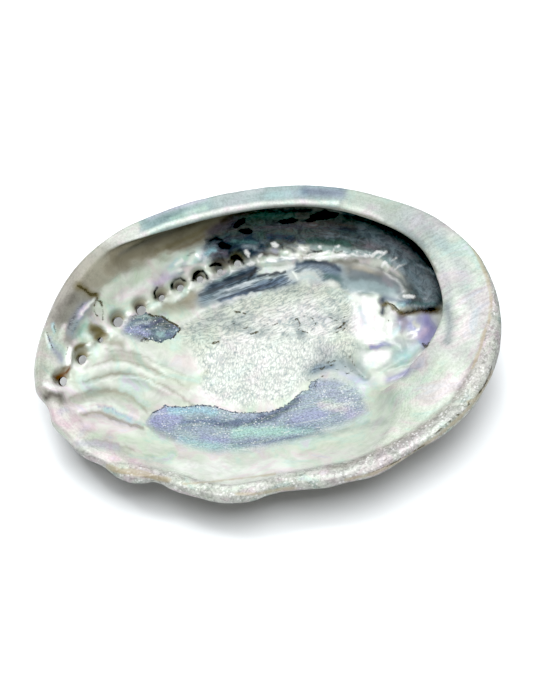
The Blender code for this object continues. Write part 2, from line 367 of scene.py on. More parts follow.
LIP_BAND = (
    (440, 212), (450, 224), (462, 234), (472, 246), (480, 261), (487, 277), (491, 296), (490, 318),
    (484, 333), (478, 354), (472, 368), (465, 381), (454, 398), (440, 412), (422, 425), (405, 436),
    (382, 448), (353, 460), (330, 464), (290, 472), (262, 480), (232, 485), (205, 482), (180, 474),
    (150, 466), (128, 463), (108, 462), (90, 452), (60, 440), (120, 540), (520, 540), (540, 300),
    (500, 200), (440, 190),
)
DARK_WALL = (
    (200, 248), (208, 238), (224, 226), (240, 206), (262, 188), (300, 186), (345, 190), (372, 198),
    (400, 212), (424, 232), (450, 268), (452, 300), (438, 311), (404, 306), (411, 285), (397, 264),
    (372, 250), (340, 247), (300, 244), (272, 250), (250, 258), (222, 262), (206, 258),
)

# Where the pale layer is missing: the edge, the outline of the full depth, and the step in millimetres
PATCHES = ((BIG_PATCH, BIG_PATCH_DEPTH, 0.22), (SMALL_PATCH, SMALL_PATCH_DEPTH, 0.3))

# Where the paint changes, in photo pixels: start and end
LIP_TURN_X = (438.0, 446.0)
LIP_TURN_Y = 348.0
RAGGED_X = (294.0, 318.0)
COMBED_Y = (326.0, 350.0)
LINED_X = (305.0, 345.0)
LINED_Y = (262.0, 270.0)
FEATHER_X = (345.0, 440.0)
FEATHER_Y = (330.0, 400.0)

# A distance that stands for nowhere near
FAR = 99.0

# How strongly some tints lie over the rest
SHELF_ASH = 0.42
BAND_FROST = 0.8
BAND_STONE = 0.28

# Colours as a screen shows them under the photo's light
# Some tints stand in for light and shade: groove paints shade in grooves and hollows, the near-black tint of
# the far wall's top paints shade below the shelf's edge, and white also paints highlights
TINTS = {
    "pearl": (226, 232, 220), "cream": (240, 246, 238), "white": (254, 256, 255), "beige": (166, 161, 143),
    "wall": (116, 110, 88), "leaf": (208, 224, 202), "mint": (176, 222, 206), "aqua": (164, 212, 224),
    "lilac": (198, 194, 222), "pink": (232, 206, 216), "navy": (38, 54, 76), "ink": (10, 14, 18),
    "teal": (76, 112, 112), "slate": (84, 92, 94), "moss": (56, 62, 56), "umber": (84, 76, 70),
    "plum": (88, 78, 92), "steel": (132, 152, 160), "denim": (104, 124, 146), "haze": (166, 182, 190),
    "lavender": (170, 174, 212), "violet": (144, 142, 190), "olive": (108, 98, 54), "rust": (104, 66, 22),
    "tan": (184, 172, 142), "brown": (104, 84, 46), "frost": (212, 212, 210), "stone": (170, 166, 158),
    "sage": (206, 222, 204), "sea": (150, 180, 180), "ash": (178, 190, 194), "groove": (156, 151, 128),
    "straw": (222, 224, 206), "clay": (136, 134, 124), "spruce": (66, 98, 86), "mauve": (140, 132, 140),
    "ledge_shade": (34, 44, 46), "fog": (118, 130, 138), "iris": (120, 126, 156), "linen": (184, 196, 186),
}

# The share of each tint that is the shell's own
PHOTO_LIGHT = (0.62, 0.62, 0.62, 1.0)

# How nacre shines, how rough the crust is, and how deep the fine relief goes, in metres
NACRE_ROUGHNESS = 0.26
NACRE_SPECULAR = 0.4
CRUST_ROUGHNESS = 0.75
BUMP_DEPTH = 0.0004
BUMP_STRENGTH = 0.7

# Colour ramps: place, and a tint or a linear colour
SHIMMER = ((0.30, "lilac"), (0.40, "pink"), (0.47, "cream"), (0.55, "leaf"), (0.62, "mint"), (0.70, "lilac"))
CLOUDS = ((0.36, "ink"), (0.44, "navy"), (0.50, "teal"), (0.55, "umber"), (0.60, "plum"), (0.68, "steel"))
SCAR_FIBRES = ((0.34, "steel"), (0.43, "ash"), (0.52, "frost"), (0.64, "white"))
OLD_SWEEP = ((0.36, "denim"), (0.45, "lavender"), (0.50, "haze"), (0.55, "sea"), (0.64, "cream"))
CRUST_BANDS = (
    (0.30, (0.085, 0.060, 0.038, 1)), (0.42, (0.20, 0.15, 0.10, 1)), (0.52, (0.30, 0.25, 0.18, 1)),
    (0.62, (0.17, 0.17, 0.11, 1)), (0.72, (0.42, 0.36, 0.30, 1)),
)
CRUST_PATCH = (0.50, 0.46, 0.40, 1)
CRUST_GRAIN = ((0.3, (0.6, 0.6, 0.6, 1)), (0.6, (1, 1, 1, 1)))

# Strands in the material: their angle in plan, and their lengths along, across and upward in metres
FEATHER_STRANDS = (24.0, (0.0085, 0.0013, 0.003))
FLOOR_STRANDS = (22.0, (0.0080, 0.0006, 0.0010))
LONG_STRANDS = (24.0, (0.0050, 0.0009, 0.003))
SHORT_STRANDS = (82.0, (0.0022, 0.0008, 0.003))
OLD_STRANDS = (14.0, (0.016, 0.0022, 0.004))

# Paint of the bowl in photo pixels: tint, softness, share, outline
BOWL_AREAS = (
    ("beige", 9, 0.9,
        (60, 262), (97, 240), (136, 228), (169, 210), (205, 200), (230, 205), (230, 222), (214, 238),
        (196, 248), (180, 253), (160, 262), (140, 268), (118, 276), (104, 290), (88, 292), (66, 290),
        (58, 280)),
    ("wall", 9, 0.65,
        (104, 246), (150, 226), (190, 208), (225, 200), (236, 218), (216, 236), (196, 246), (172, 250),
        (134, 262), (110, 270)),
    ("clay", 6, 0.85,
        (56, 300), (66, 284), (82, 284), (100, 293), (98, 304), (90, 316), (78, 332), (68, 344), (56, 340),
        (52, 322)),
    ("moss", 5, 0.95, *DARK_WALL),
    ("slate", 5, 0.9,
        (350, 222), (372, 228), (392, 238), (416, 254), (432, 276), (438, 300), (412, 304), (404, 286),
        (396, 266), (372, 250), (340, 246), (300, 242), (296, 234), (320, 232)),
    ("navy", 5, 0.8,
        (203, 246), (212, 240), (228, 236), (250, 234), (262, 238), (268, 248), (256, 258), (240, 257),
        (228, 262), (213, 266), (208, 254)),
    ("steel", 5, 0.9,
        (296, 262), (340, 262), (380, 270), (402, 282), (404, 296), (380, 296), (350, 294), (340, 284),
        (309, 281), (286, 284), (262, 290), (240, 293), (256, 279), (286, 272)),
    ("sea", 6, 0.5,
        (352, 344), (372, 340), (398, 342), (416, 348), (420, 358), (404, 368), (386, 374), (362, 366)),
    ("leaf", 9, 0.6, (236, 400), (258, 394), (284, 398), (286, 408), (262, 412), (240, 412)),
    ("white", 10, 0.8, (448, 330), (478, 326), (480, 350), (462, 384), (442, 410), (430, 412), (446, 380)),
    ("sage", 12, 0.55, (385, 384), (430, 352), (452, 356), (446, 386), (420, 412), (380, 424), (372, 402)),
    ("white", 10, 0.9, (150, 452), (200, 462), (260, 462), (300, 458), (290, 470), (230, 480), (180, 470)),
    ("white", 10, 0.7, (200, 412), (190, 380), (204, 350), (290, 300), (340, 300), (330, 350), (290, 400)),
    # Painted highlights: the glare on the spire's hump, its side, and the bulge below
    ("white", 4, 1,
        (349, 296), (357, 293), (366, 295), (375, 294), (381, 299), (382, 306), (380, 312), (385, 319),
        (392, 322), (399, 322), (398, 332), (392, 337), (384, 338), (379, 342), (368, 343), (360, 340),
        (352, 336), (350, 325), (352, 312), (348, 304)),
    ("white", 2, 0.9, (386, 308), (391, 306), (396, 311), (398, 318), (393, 322), (388, 318)),
    ("white", 3, 1,
        (361, 366), (366, 357), (372, 352), (380, 350), (388, 348), (393, 350), (390, 357), (376, 368)),
)

# Strokes of the bowl in photo pixels: tint, half width, share, line
BOWL_STROKES = (
    # Above the row, left to right
    ("leaf", 9, 0.9, (108, 300), (124, 288), (144, 276), (166, 268)),
    ("white", 5, 0.7, (120, 300), (132, 292), (150, 282)),
    ("umber", 4, 0.45, (146, 242), (176, 228), (212, 214)),
    ("olive", 2.5, 0.35, (156, 252), (184, 240), (206, 228)),
    ("brown", 1.6, 0.4, (168, 254), (190, 244), (204, 236)),
    ("clay", 2.5, 0.6, (120, 254), (150, 240), (184, 224)),
    ("plum", 4, 0.4, (208, 234), (222, 224), (236, 218)),
    ("haze", 9, 0.6, (168, 274), (182, 264), (198, 256), (210, 252)),
    ("white", 7, 0.7, (172, 270), (186, 261), (202, 256)),
    ("mint", 5, 0.95, (170, 268), (178, 263), (186, 259)),
    ("teal", 1.2, 0.5, (174, 271), (184, 266), (190, 265)),
    ("aqua", 1.8, 0.9, (171, 266), (178, 261)),
    ("white", 1.5, 0.9, (176, 265), (182, 260)),
    ("lilac", 1.8, 0.9, (184, 263), (190, 260)),
    ("spruce", 1.2, 0.5, (188, 255), (194, 252)),
    ("mint", 1.8, 0.9, (192, 260), (196, 256)),
    ("aqua", 3, 0.9, (196, 262), (206, 254), (214, 250)),
    ("white", 2.4, 0.9, (188, 262), (194, 257), (200, 254)),
    ("white", 2.2, 0.8, (174, 272), (180, 269)),
    ("steel", 1.6, 0.8, (180, 274), (187, 268), (194, 268)),
    ("steel", 1.4, 0.7, (168, 276), (174, 277)),
    ("lilac", 4, 0.9, (156, 284), (166, 278), (176, 274)),
    ("pink", 3, 0.9, (186, 270), (196, 265), (204, 264)),
    ("white", 3, 0.7, (198, 260), (204, 258)),
    ("plum", 5, 0.7, (212, 231), (222, 226), (234, 224)),
    ("ink", 3.5, 0.7, (206, 241), (216, 239), (226, 246), (236, 246)),
    ("teal", 2.5, 0.9, (232, 241), (244, 241), (256, 243)),
    ("plum", 3.5, 0.8, (214, 256), (220, 253), (226, 256)),
    ("umber", 4, 0.8, (218, 261), (226, 263), (230, 264)),
    # The far wall; its near-black strokes just below the shelf's edge are painted shade
    ("clay", 2.2, 0.7, (250, 212), (272, 208), (298, 207), (320, 208), (340, 211)),
    ("ledge_shade", 1.6, 0.9, (250, 214), (268, 211), (286, 210), (310, 210)),
    ("spruce", 3.6, 0.95, (250, 216), (264, 216), (280, 216), (292, 215)),
    ("spruce", 4, 0.6, (254, 222), (262, 226), (262, 234)),
    ("umber", 3, 0.9, (222, 222), (236, 214), (252, 212)),
    ("umber", 3, 0.8, (300, 214), (306, 214)),
    ("plum", 3.2, 0.6, (256, 228), (276, 227), (300, 226), (336, 226), (352, 230)),
    ("umber", 3, 0.8, (310, 224), (340, 224), (356, 228)),
    ("navy", 3.2, 0.9, (268, 237), (278, 236), (292, 238)),
    ("fog", 1.4, 0.6, (252, 246), (262, 243), (268, 241)),
    ("fog", 1.4, 0.6, (280, 246), (286, 244), (296, 246)),
    ("fog", 1.2, 0.5, (258, 250), (270, 251)),
    ("navy", 2.5, 0.8, (298, 241), (304, 243)),
    ("slate", 3, 0.8, (300, 236), (320, 236), (340, 236)),
    ("spruce", 3.2, 0.9, (308, 241), (322, 242), (340, 243), (350, 245)),
    ("ledge_shade", 3.5, 0.7, (342, 230), (356, 232), (370, 236), (378, 240)),
    ("fog", 6, 0.7, (362, 230), (378, 236), (394, 243)),
    ("ledge_shade", 3, 0.8, (345, 214), (372, 222), (396, 234), (415, 249), (430, 266), (438, 284), (440, 300)),
    ("mauve", 5.5, 0.8, (370, 246), (384, 243), (398, 248), (408, 256)),
    ("fog", 1.1, 0.8, (326, 237), (340, 236), (352, 240), (366, 243)),
    ("fog", 7, 0.9, (394, 250), (410, 262), (420, 276)),
    ("fog", 9, 0.95, (416, 276), (428, 286), (428, 300)),
    ("haze", 7, 0.65, (420, 280), (429, 290), (429, 300)),
    ("steel", 5, 0.6, (370, 238), (384, 244), (394, 250)),
    ("steel", 4, 0.6, (404, 262), (414, 276), (420, 292)),
    ("haze", 1.1, 0.7, (416, 264), (428, 270), (436, 276)),
    # Round the closed holes
    ("lilac", 2.4, 0.9, (273, 250), (277, 251)),
    ("haze", 3, 0.9, (266, 261), (280, 260), (294, 258)),
    ("haze", 2, 0.7, (244, 246), (256, 248)),
    ("umber", 2.2, 0.8, (262, 254), (270, 254), (278, 255)),
    ("slate", 2.2, 0.8, (288, 248), (294, 252)),
    ("sea", 3.2, 0.8, (312, 248), (324, 249), (336, 249), (352, 251)),
    ("slate", 1.6, 0.8, (308, 253), (316, 252)),
    ("sea", 4, 0.8, (346, 254), (352, 253), (366, 254), (380, 255), (390, 262)),
    ("slate", 1.4, 0.8, (352, 249), (368, 250), (386, 248), (392, 256), (392, 266)),
    ("haze", 3, 0.8, (392, 260), (398, 266), (404, 272)),
    ("slate", 2.4, 0.8, (390, 272), (400, 280), (408, 288)),
    ("mauve", 4, 0.7, (380, 272), (392, 280), (398, 290)),
    ("brown", 1.2, 0.6, (300, 257), (306, 256)),
    ("olive", 1.6, 0.5, (304, 262), (312, 262)),
    ("clay", 3, 0.9, (312, 264), (330, 263), (346, 262), (356, 262)),
    ("clay", 7, 0.8, (350, 268), (364, 270), (378, 274)),
    ("beige", 2.6, 0.8, (354, 268), (364, 268), (372, 272)),
    ("slate", 4, 0.7, (352, 278), (376, 278), (396, 286)),
    ("denim", 6, 0.8, (300, 268), (320, 268), (336, 272)),
    ("navy", 2, 0.8, (298, 264), (316, 262), (330, 264), (340, 270)),
    ("teal", 3.5, 0.8, (326, 276), (338, 278), (344, 286)),
    ("fog", 3.5, 0.7, (352, 272), (368, 276), (386, 282), (398, 292)),
    ("steel", 6, 0.9, (346, 284), (366, 287), (388, 292)),
    ("sea", 7, 0.5, (348, 286), (368, 288), (392, 292)),
    ("mauve", 2.5, 0.6, (384, 280), (392, 286)),
    # Between the row and the scar
    ("stone", 8, 0.7, (188, 302), (202, 297), (214, 292), (224, 290)),
    ("groove", 5, 0.7, (188, 299), (198, 294), (208, 289), (214, 284)),
    ("ash", 5.5, 0.8, (206, 288), (222, 279), (238, 273), (250, 267)),
    ("ash", 3.5, 0.7, (262, 270), (276, 268), (290, 266)),
    ("denim", 8, 0.95, (206, 297), (214, 290), (226, 284), (240, 278), (254, 272)),
    ("teal", 6, 0.5, (210, 294), (226, 285), (240, 279), (252, 274)),
    ("navy", 6, 0.95, (214, 290), (232, 282), (246, 276), (255, 271)),
    ("sea", 1.4, 0.6, (216, 281), (226, 277), (238, 273)),
    ("ink", 1.8, 0.8, (238, 279), (248, 275), (256, 269)),
    ("steel", 9, 0.7, (206, 302), (224, 296), (244, 289), (268, 284), (292, 280)),
    ("denim", 5, 0.95, (222, 301), (238, 294), (254, 288), (272, 283), (292, 279)),
    ("navy", 2.4, 0.7, (232, 296), (254, 289), (276, 283)),
    ("haze", 1.5, 0.9, (214, 295), (228, 289), (242, 284), (258, 279)),
    ("linen", 3.2, 0.95, (260, 273), (270, 269), (286, 267)),
    ("navy", 1.2, 0.8, (258, 277), (272, 274), (286, 272)),
    ("linen", 5, 0.7, (292, 277), (304, 273), (318, 275)),
    ("steel", 1.4, 0.7, (294, 272), (306, 269), (318, 272), (324, 280)),
    ("sea", 1.4, 0.7, (298, 279), (308, 276), (318, 279)),
    ("white", 1.2, 0.5, (293, 272), (296, 276), (299, 279)),
    ("white", 2, 0.5, (184, 324), (202, 311), (222, 303), (260, 293)),
    # The hollow of the spire
    ("denim", 3.5, 0.8, (384, 299), (398, 301), (410, 301)),
    ("navy", 2.5, 0.9, (381, 300), (383, 306), (382, 313)),
    ("aqua", 2.4, 0.9, (398, 305), (404, 304)),
    ("teal", 2, 0.9, (412, 302), (422, 304), (434, 303)),
    ("haze", 1.4, 0.9, (408, 306), (426, 307)),
    ("lavender", 8, 0.95, (402, 322), (414, 326), (420, 334)),
    ("violet", 9, 0.95, (426, 320), (432, 330), (424, 342)),
    ("pink", 4, 0.4, (412, 339), (420, 336), (426, 330)),
    ("mauve", 4, 0.8, (401, 318), (405, 322), (401, 330)),
    ("straw", 2.6, 0.8, (414, 323), (418, 327)),
    # The brown and ink strokes below are painted shade in the spire's groove
    ("brown", 3.2, 0.95, (402, 313), (412, 312), (424, 311), (438, 310)),
    ("ink", 1.9, 0.95, (406, 312), (414, 311), (424, 310), (434, 309)),
    ("olive", 2, 0.9, (382, 305), (388, 304), (394, 308), (400, 313)),
    ("aqua", 3, 0.6, (360, 309), (364, 318), (364, 324)),
    ("aqua", 3, 0.8, (394, 334), (398, 328)),
    ("violet", 2.6, 0.9, (372, 347), (380, 345), (388, 345)),
    ("aqua", 6, 0.8, (398, 358), (408, 352), (414, 346)),
    ("mint", 4, 0.5, (394, 350), (400, 346)),
    ("haze", 4, 0.6, (360, 362), (366, 368)),
    ("haze", 5, 0.6, (388, 344), (398, 340), (410, 344)),
    ("violet", 4.5, 0.8, (388, 380), (402, 375), (416, 366), (430, 354), (442, 340), (446, 326)),
    ("ash", 6, 0.7, (418, 364), (436, 350), (449, 334), (452, 316)),
    # The scar's bluer parts
    ("ash", 6, 0.6, (228, 326), (238, 320), (250, 316)),
    ("steel", 3.5, 0.4, (236, 324), (246, 330), (256, 334), (266, 330)),
    ("steel", 4, 0.5, (294, 318), (298, 328), (304, 338)),
    ("steel", 2.5, 0.5, (284, 334), (294, 336), (304, 334)),
    ("ash", 6, 0.5, (306, 322), (322, 318), (340, 318)),
    ("steel", 2.5, 0.5, (334, 330), (342, 327), (348, 320)),
    ("ash", 9, 0.6, (322, 352), (334, 356), (346, 364)),
    ("steel", 9, 0.8, (312, 372), (326, 367), (342, 366), (356, 372)),
    ("ash", 7, 0.8, (350, 372), (362, 376), (372, 382)),
    ("denim", 3, 0.6, (314, 370), (322, 366), (332, 367)),
    ("lavender", 3, 0.6, (340, 374), (354, 378), (368, 384)),
    ("ash", 6, 0.5, (196, 330), (206, 322), (222, 316)),
    # The left end
    ("stone", 6, 0.7, (41, 388), (42, 362), (45, 340), (52, 316), (64, 290), (82, 264), (110, 242)),
    ("umber", 6, 0.5, (56, 318), (62, 306), (72, 298)),
    ("olive", 4, 0.8, (78, 286), (88, 292), (96, 296)),
    ("iris", 3.5, 0.4, (66, 330), (74, 316), (84, 304)),
    ("haze", 4.5, 0.7, (70, 336), (77, 322), (86, 308)),
    ("steel", 1.6, 0.6, (72, 334), (79, 320), (88, 308)),
    ("lilac", 2.2, 0.9, (78, 318), (84, 308), (90, 302)),
    ("white", 1.6, 0.9, (82, 314), (88, 306), (93, 300)),
    ("mint", 3.5, 0.9, (78, 336), (84, 328), (88, 320)),
    ("teal", 2, 0.3, (74, 338), (80, 332), (84, 324)),
    ("leaf", 2, 0.9, (91, 322), (95, 318)),
    # The olive strokes here, and the rust and brown ones further down, lie just above the first three holes:
    # painted shade in their wells
    ("olive", 5, 0.9, (92, 328), (98, 330), (104, 334)),
    ("olive", 3, 0.9, (74, 349), (80, 346), (88, 344)),
    ("leaf", 2.2, 0.9, (80, 340), (85, 339)),
    ("lavender", 4, 0.8, (54, 350), (60, 354), (62, 360)),
    ("cream", 3, 0.9, (58, 342), (61, 334), (64, 326)),
    ("straw", 2, 0.8, (62, 340), (65, 330)),
    ("aqua", 1.6, 0.9, (53, 324), (54, 332)),
    # A painted highlight along the rim's edge
    ("white", 1.8, 0.9, (46, 334), (48, 340), (50, 346)),
    ("lavender", 2.4, 0.7, (50, 338), (53, 346)),
    ("stone", 3, 0.6, (68, 338), (72, 344)),
    ("rust", 2.6, 1, (56, 376), (62, 375), (67, 371), (70, 367)),
    ("brown", 2, 0.8, (62, 369), (67, 366)),
    ("clay", 6, 0.9, (47, 394), (54, 396), (60, 399)),
    ("umber", 2.5, 0.8, (46, 397), (54, 393), (60, 396)),
    ("white", 3, 0.9, (46, 384), (52, 388), (62, 388), (70, 388)),
    ("lilac", 3.5, 0.8, (60, 412), (66, 410)),
    ("pink", 5, 0.6, (56, 418), (66, 424), (76, 420)),
    # Between the holes and down the folds: the groove strokes are painted shade in grooves and hollows, the
    # white ones painted highlights on the ridges between the holes and on the folds
    ("stone", 14, 0.22, (70, 404), (100, 390), (130, 388), (165, 402)),
    ("groove", 1.4, 0.5, (70, 398), (93, 390), (116, 391), (132, 398), (148, 412)),
    ("groove", 1.4, 0.5, (82, 382), (100, 377), (120, 373), (143, 375), (170, 389), (193, 405)),
    ("groove", 1.4, 0.45, (93, 366), (111, 360), (125, 360), (143, 366), (166, 375), (189, 389)),
    ("groove", 1.2, 0.4, (105, 350), (123, 350), (139, 355), (161, 364), (184, 375)),
    ("groove", 1.2, 0.4, (82, 439), (105, 441), (127, 448), (152, 457)),
    ("white", 1.2, 0.6, (86, 386), (104, 381), (122, 377), (144, 379), (168, 393)),
    ("white", 1.2, 0.6, (96, 370), (112, 364), (126, 364), (142, 370), (164, 380)),
    ("white", 1.2, 0.6, (80, 405), (96, 403), (112, 405), (126, 411), (140, 419)),
    ("white", 2.8, 1, (67, 362), (68, 355), (70, 348)),
    ("white", 2.4, 0.9, (73, 366), (78, 369), (83, 371)),
    ("white", 2.6, 1, (88, 345), (93, 349), (97, 354)),
    ("white", 2.6, 0.9, (84, 334), (88, 336)),
    ("white", 3, 1, (105, 327), (111, 331), (117, 335)),
    ("white", 2.6, 1, (129, 314), (134, 318)),
    ("white", 3.2, 1, (154, 307), (160, 304)),
    ("white", 3.2, 1, (174, 299), (181, 296)),
    ("white", 2.2, 1, (190, 288), (194, 284)),
    ("white", 2.4, 1, (206, 272), (211, 277)),
    ("groove", 5, 0.7, (102, 340), (112, 342), (122, 344)),
    ("groove", 4, 0.7, (164, 306), (178, 304), (192, 296)),
    ("groove", 5, 0.5, (146, 316), (160, 312), (176, 310), (190, 306)),
    ("white", 2.2, 1, (80, 411), (92, 407), (104, 407), (122, 412)),
    ("lavender", 1.6, 0.95, (98, 406), (109, 408), (118, 412), (126, 417)),
    ("aqua", 1.7, 0.95, (104, 410), (118, 414), (130, 419)),
    ("pink", 1.5, 0.9, (90, 406), (100, 404), (110, 406)),
    ("mint", 1.8, 0.9, (118, 418), (132, 421), (144, 425)),
    ("groove", 1.7, 0.6, (81, 415), (96, 412), (105, 414), (118, 421), (143, 428)),
    ("mauve", 1.4, 0.3, (110, 418), (124, 424), (144, 429)),
    ("steel", 4, 0.35, (323, 435), (352, 428), (383, 422)),
    ("pink", 5, 0.7, (52, 412), (60, 422), (72, 430)),
    ("leaf", 5, 0.9, (68, 434), (96, 433), (120, 438), (146, 444)),
    ("lilac", 4, 0.7, (78, 444), (96, 444), (116, 448)),
    ("pink", 5, 0.5, (84, 428), (100, 427), (112, 430)),
    ("pink", 5, 0.6, (100, 458), (130, 460), (160, 464)),
    ("leaf", 5, 0.7, (140, 452), (170, 456), (200, 458)),
    ("straw", 4, 0.7, (180, 390), (196, 384), (206, 372)),
    ("mint", 4, 0.4, (160, 362), (180, 368), (196, 378)),
    ("straw", 5, 0.6, (300, 452), (330, 446), (356, 440)),
    ("straw", 4, 0.7, (362, 402), (380, 392), (396, 384)),
    ("mint", 6, 0.4, (392, 402), (416, 388), (430, 372)),
)

# Strokes of the older, bluer layer that shows where the pale one is missing
UNDER_STROKES = (
    ("lavender", 9, 0.95, (150, 424), (158, 416), (168, 412), (176, 418)),
    ("violet", 4, 0.6, (152, 420), (160, 424), (172, 428)),
    ("aqua", 3.5, 0.95, (170, 410), (186, 411), (202, 409), (214, 412)),
    ("denim", 5, 0.9, (184, 424), (206, 421), (232, 424), (256, 421), (276, 416)),
    ("navy", 2.5, 0.7, (216, 425), (238, 425), (262, 420), (276, 415)),
    ("slate", 3.5, 0.9, (150, 428), (158, 434), (166, 438), (174, 440)),
    ("lavender", 5, 0.8, (204, 436), (214, 440), (226, 442)),
    ("mint", 5, 0.95, (236, 433), (250, 431), (266, 432), (290, 430), (310, 430)),
    ("aqua", 6, 0.7, (180, 442), (196, 446), (214, 448)),
    ("steel", 4, 0.6, (224, 452), (236, 455), (248, 454)),
    ("denim", 2.6, 0.9, (232, 446), (250, 443), (268, 441), (292, 439), (323, 435)),
    ("navy", 4, 0.9, (262, 419), (276, 414), (288, 408), (298, 399)),
    ("lavender", 6, 0.7, (296, 420), (308, 416), (322, 414)),
    ("iris", 4, 0.5, (288, 424), (304, 428), (318, 428)),
    ("steel", 5, 0.5, (306, 392), (318, 384), (334, 380)),
    ("lilac", 8, 0.6, (320, 388), (334, 392), (346, 404), (352, 414)),
    ("leaf", 4, 0.7, (326, 402), (336, 404), (342, 409)),
    ("steel", 12, 0.35, (312, 384), (328, 386), (344, 392)),
    ("ash", 8, 0.5, (344, 392), (356, 400), (364, 408)),
    ("pink", 3.5, 0.5, (320, 404), (334, 408), (346, 409)),
    ("cream", 2.5, 0.4, (324, 409), (340, 404), (352, 402)),
    ("cream", 9, 0.5, (170, 450), (200, 458), (240, 458), (280, 450)),
    ("mint", 7, 0.5, (186, 446), (210, 450), (236, 452)),
    ("lilac", 3.5, 0.9, (352, 416), (364, 413), (378, 408)),
    ("white", 4, 0.8, (328, 432), (338, 430), (348, 426)),
    ("iris", 10, 0.5, (120, 330), (140, 332), (156, 340)),
    ("denim", 12, 0.9, (134, 324), (150, 328), (170, 334)),
    ("navy", 9, 0.85, (140, 321), (156, 328), (172, 334)),
    ("teal", 3.5, 0.9, (134, 316), (146, 315), (153, 318)),
    ("ash", 1.6, 0.9, (134, 325), (142, 322), (150, 323)),
    ("lavender", 3, 0.8, (126, 330), (138, 330), (148, 334)),
    ("umber", 5, 0.9, (155, 320), (163, 322), (170, 326)),
    ("ink", 5, 0.95, (158, 320), (166, 324), (174, 329)),
    ("plum", 3, 0.7, (136, 336), (144, 338), (150, 342)),
    ("navy", 2.5, 0.8, (150, 336), (160, 341), (170, 340)),
    ("denim", 4, 0.9, (160, 331), (170, 333), (178, 330)),
    ("mint", 2, 0.6, (158, 334), (164, 334)),
)

# Paint of the shelf's top in photo pixels
SHELF_AREAS = (
    ("linen", 3, 0.9,
        (337, 180), (337, 206), (370, 214), (400, 230), (424, 250), (450, 250), (440, 200), (390, 180)),
    ("straw", 4, 0.6, (80, 240), (110, 246), (139, 236), (139, 200), (100, 210)),
    ("sea", 2, 0.95, *SHELF_LEAF),
)
SHELF_STROKES = (
    ("lilac", 3, 0.8, (150, 219), (162, 212), (180, 206), (205, 199)),
    ("sea", 7, 0.95, (150, 226), (172, 218), (188, 212), (208, 206)),
    ("steel", 5, 0.3, (150, 226), (166, 220), (180, 216)),
    ("mint", 2.5, 0.6, (172, 219), (186, 214), (205, 208)),
    ("ash", 3.5, 0.8, (215, 196), (240, 191), (262, 189)),
    ("aqua", 4, 0.5, (268, 196), (290, 193), (304, 193)),
    ("teal", 9, 0.2, (150, 224), (164, 218), (180, 212)),
    ("teal", 8, 0.15, (262, 196), (280, 194), (300, 192)),
    ("iris", 5.5, 0.6, (306, 191), (322, 192), (342, 193)),
    ("steel", 3, 0.7, (330, 186), (346, 188)),
    # A painted highlight along the shelf's rounded inner edge
    ("white", 2.3, 1,
        (97, 254), (116, 246), (138, 237), (166, 225), (195, 217), (225, 210), (260, 204), (300, 202),
        (337, 203)),
    ("cream", 3.5, 0.6, (345, 206), (362, 211), (380, 219)),
    ("ash", 7, 0.7, (400, 212), (420, 222), (436, 236)),
    ("steel", 4, 0.4, (398, 224), (412, 236), (424, 246)),
    ("linen", 7, 0.7, (352, 194), (376, 199), (396, 208)),
    ("haze", 8, 0.5, (440, 240), (454, 256), (464, 274), (466, 300)),
    ("ash", 4, 0.6, (428, 246), (440, 262), (448, 284), (450, 304)),
    ("mint", 5, 0.4, (470, 300), (476, 316), (474, 334)),
    ("cream", 6, 0.6, (460, 300), (464, 316), (462, 340)),
    ("fog", 4.5, 0.7, (447, 306), (450, 326), (447, 342)),
    ("clay", 2, 0.9,
        (180, 229), (200, 222), (225, 215), (250, 211), (275, 207), (300, 206), (338, 209), (369, 217),
        (396, 230), (414, 242), (427, 256), (436, 272)),
)

# Crisp marks in photo pixels: half width and line; a half width of 0 goes with a closed outline. The black
# marks are painted shade under the shelf's edge, in the holes' wells and between the row's bumps; the white
# marks are painted highlights on bumps, the row and the spire
SHADE_MARKS = (
    (0, (233, 228), (234, 225), (238, 220), (247, 217), (245, 222), (241, 226), (238, 229)),
    (0, (237, 231), (241, 228), (249, 228), (253, 231), (252, 234), (245, 235), (239, 233)),
    (0, (217, 244), (221, 241), (229, 243), (233, 246), (230, 250), (221, 249)),
    (1.4, (210, 241), (216, 238), (222, 240)),
    (0, (273, 222), (283, 219), (293, 217), (300, 220), (293, 224), (283, 225), (277, 224)),
    (0,
        (300, 221), (309, 218), (309, 215), (317, 212), (326, 210), (339, 213), (336, 218), (326, 220),
        (317, 221), (307, 223)),
    (1.7, (229, 262), (232, 258), (237, 256), (242, 260), (243, 264)),
    (1.5, (210, 266), (215, 264), (221, 265)),
    (1.9, (193, 280), (194, 275), (198, 272), (203, 271), (206, 274), (207, 278)),
    (1.4, (172, 289), (172, 284), (175, 280), (180, 278), (185, 281)),
    (1.2, (155, 298), (154, 293), (157, 288)), (1.1, (333, 251), (337, 253), (342, 251)),
    (0.8, (310, 250), (316, 252), (322, 251)), (0.8, (282, 244), (283, 249)),
    (1, (248, 279), (254, 272), (256, 268)),
)
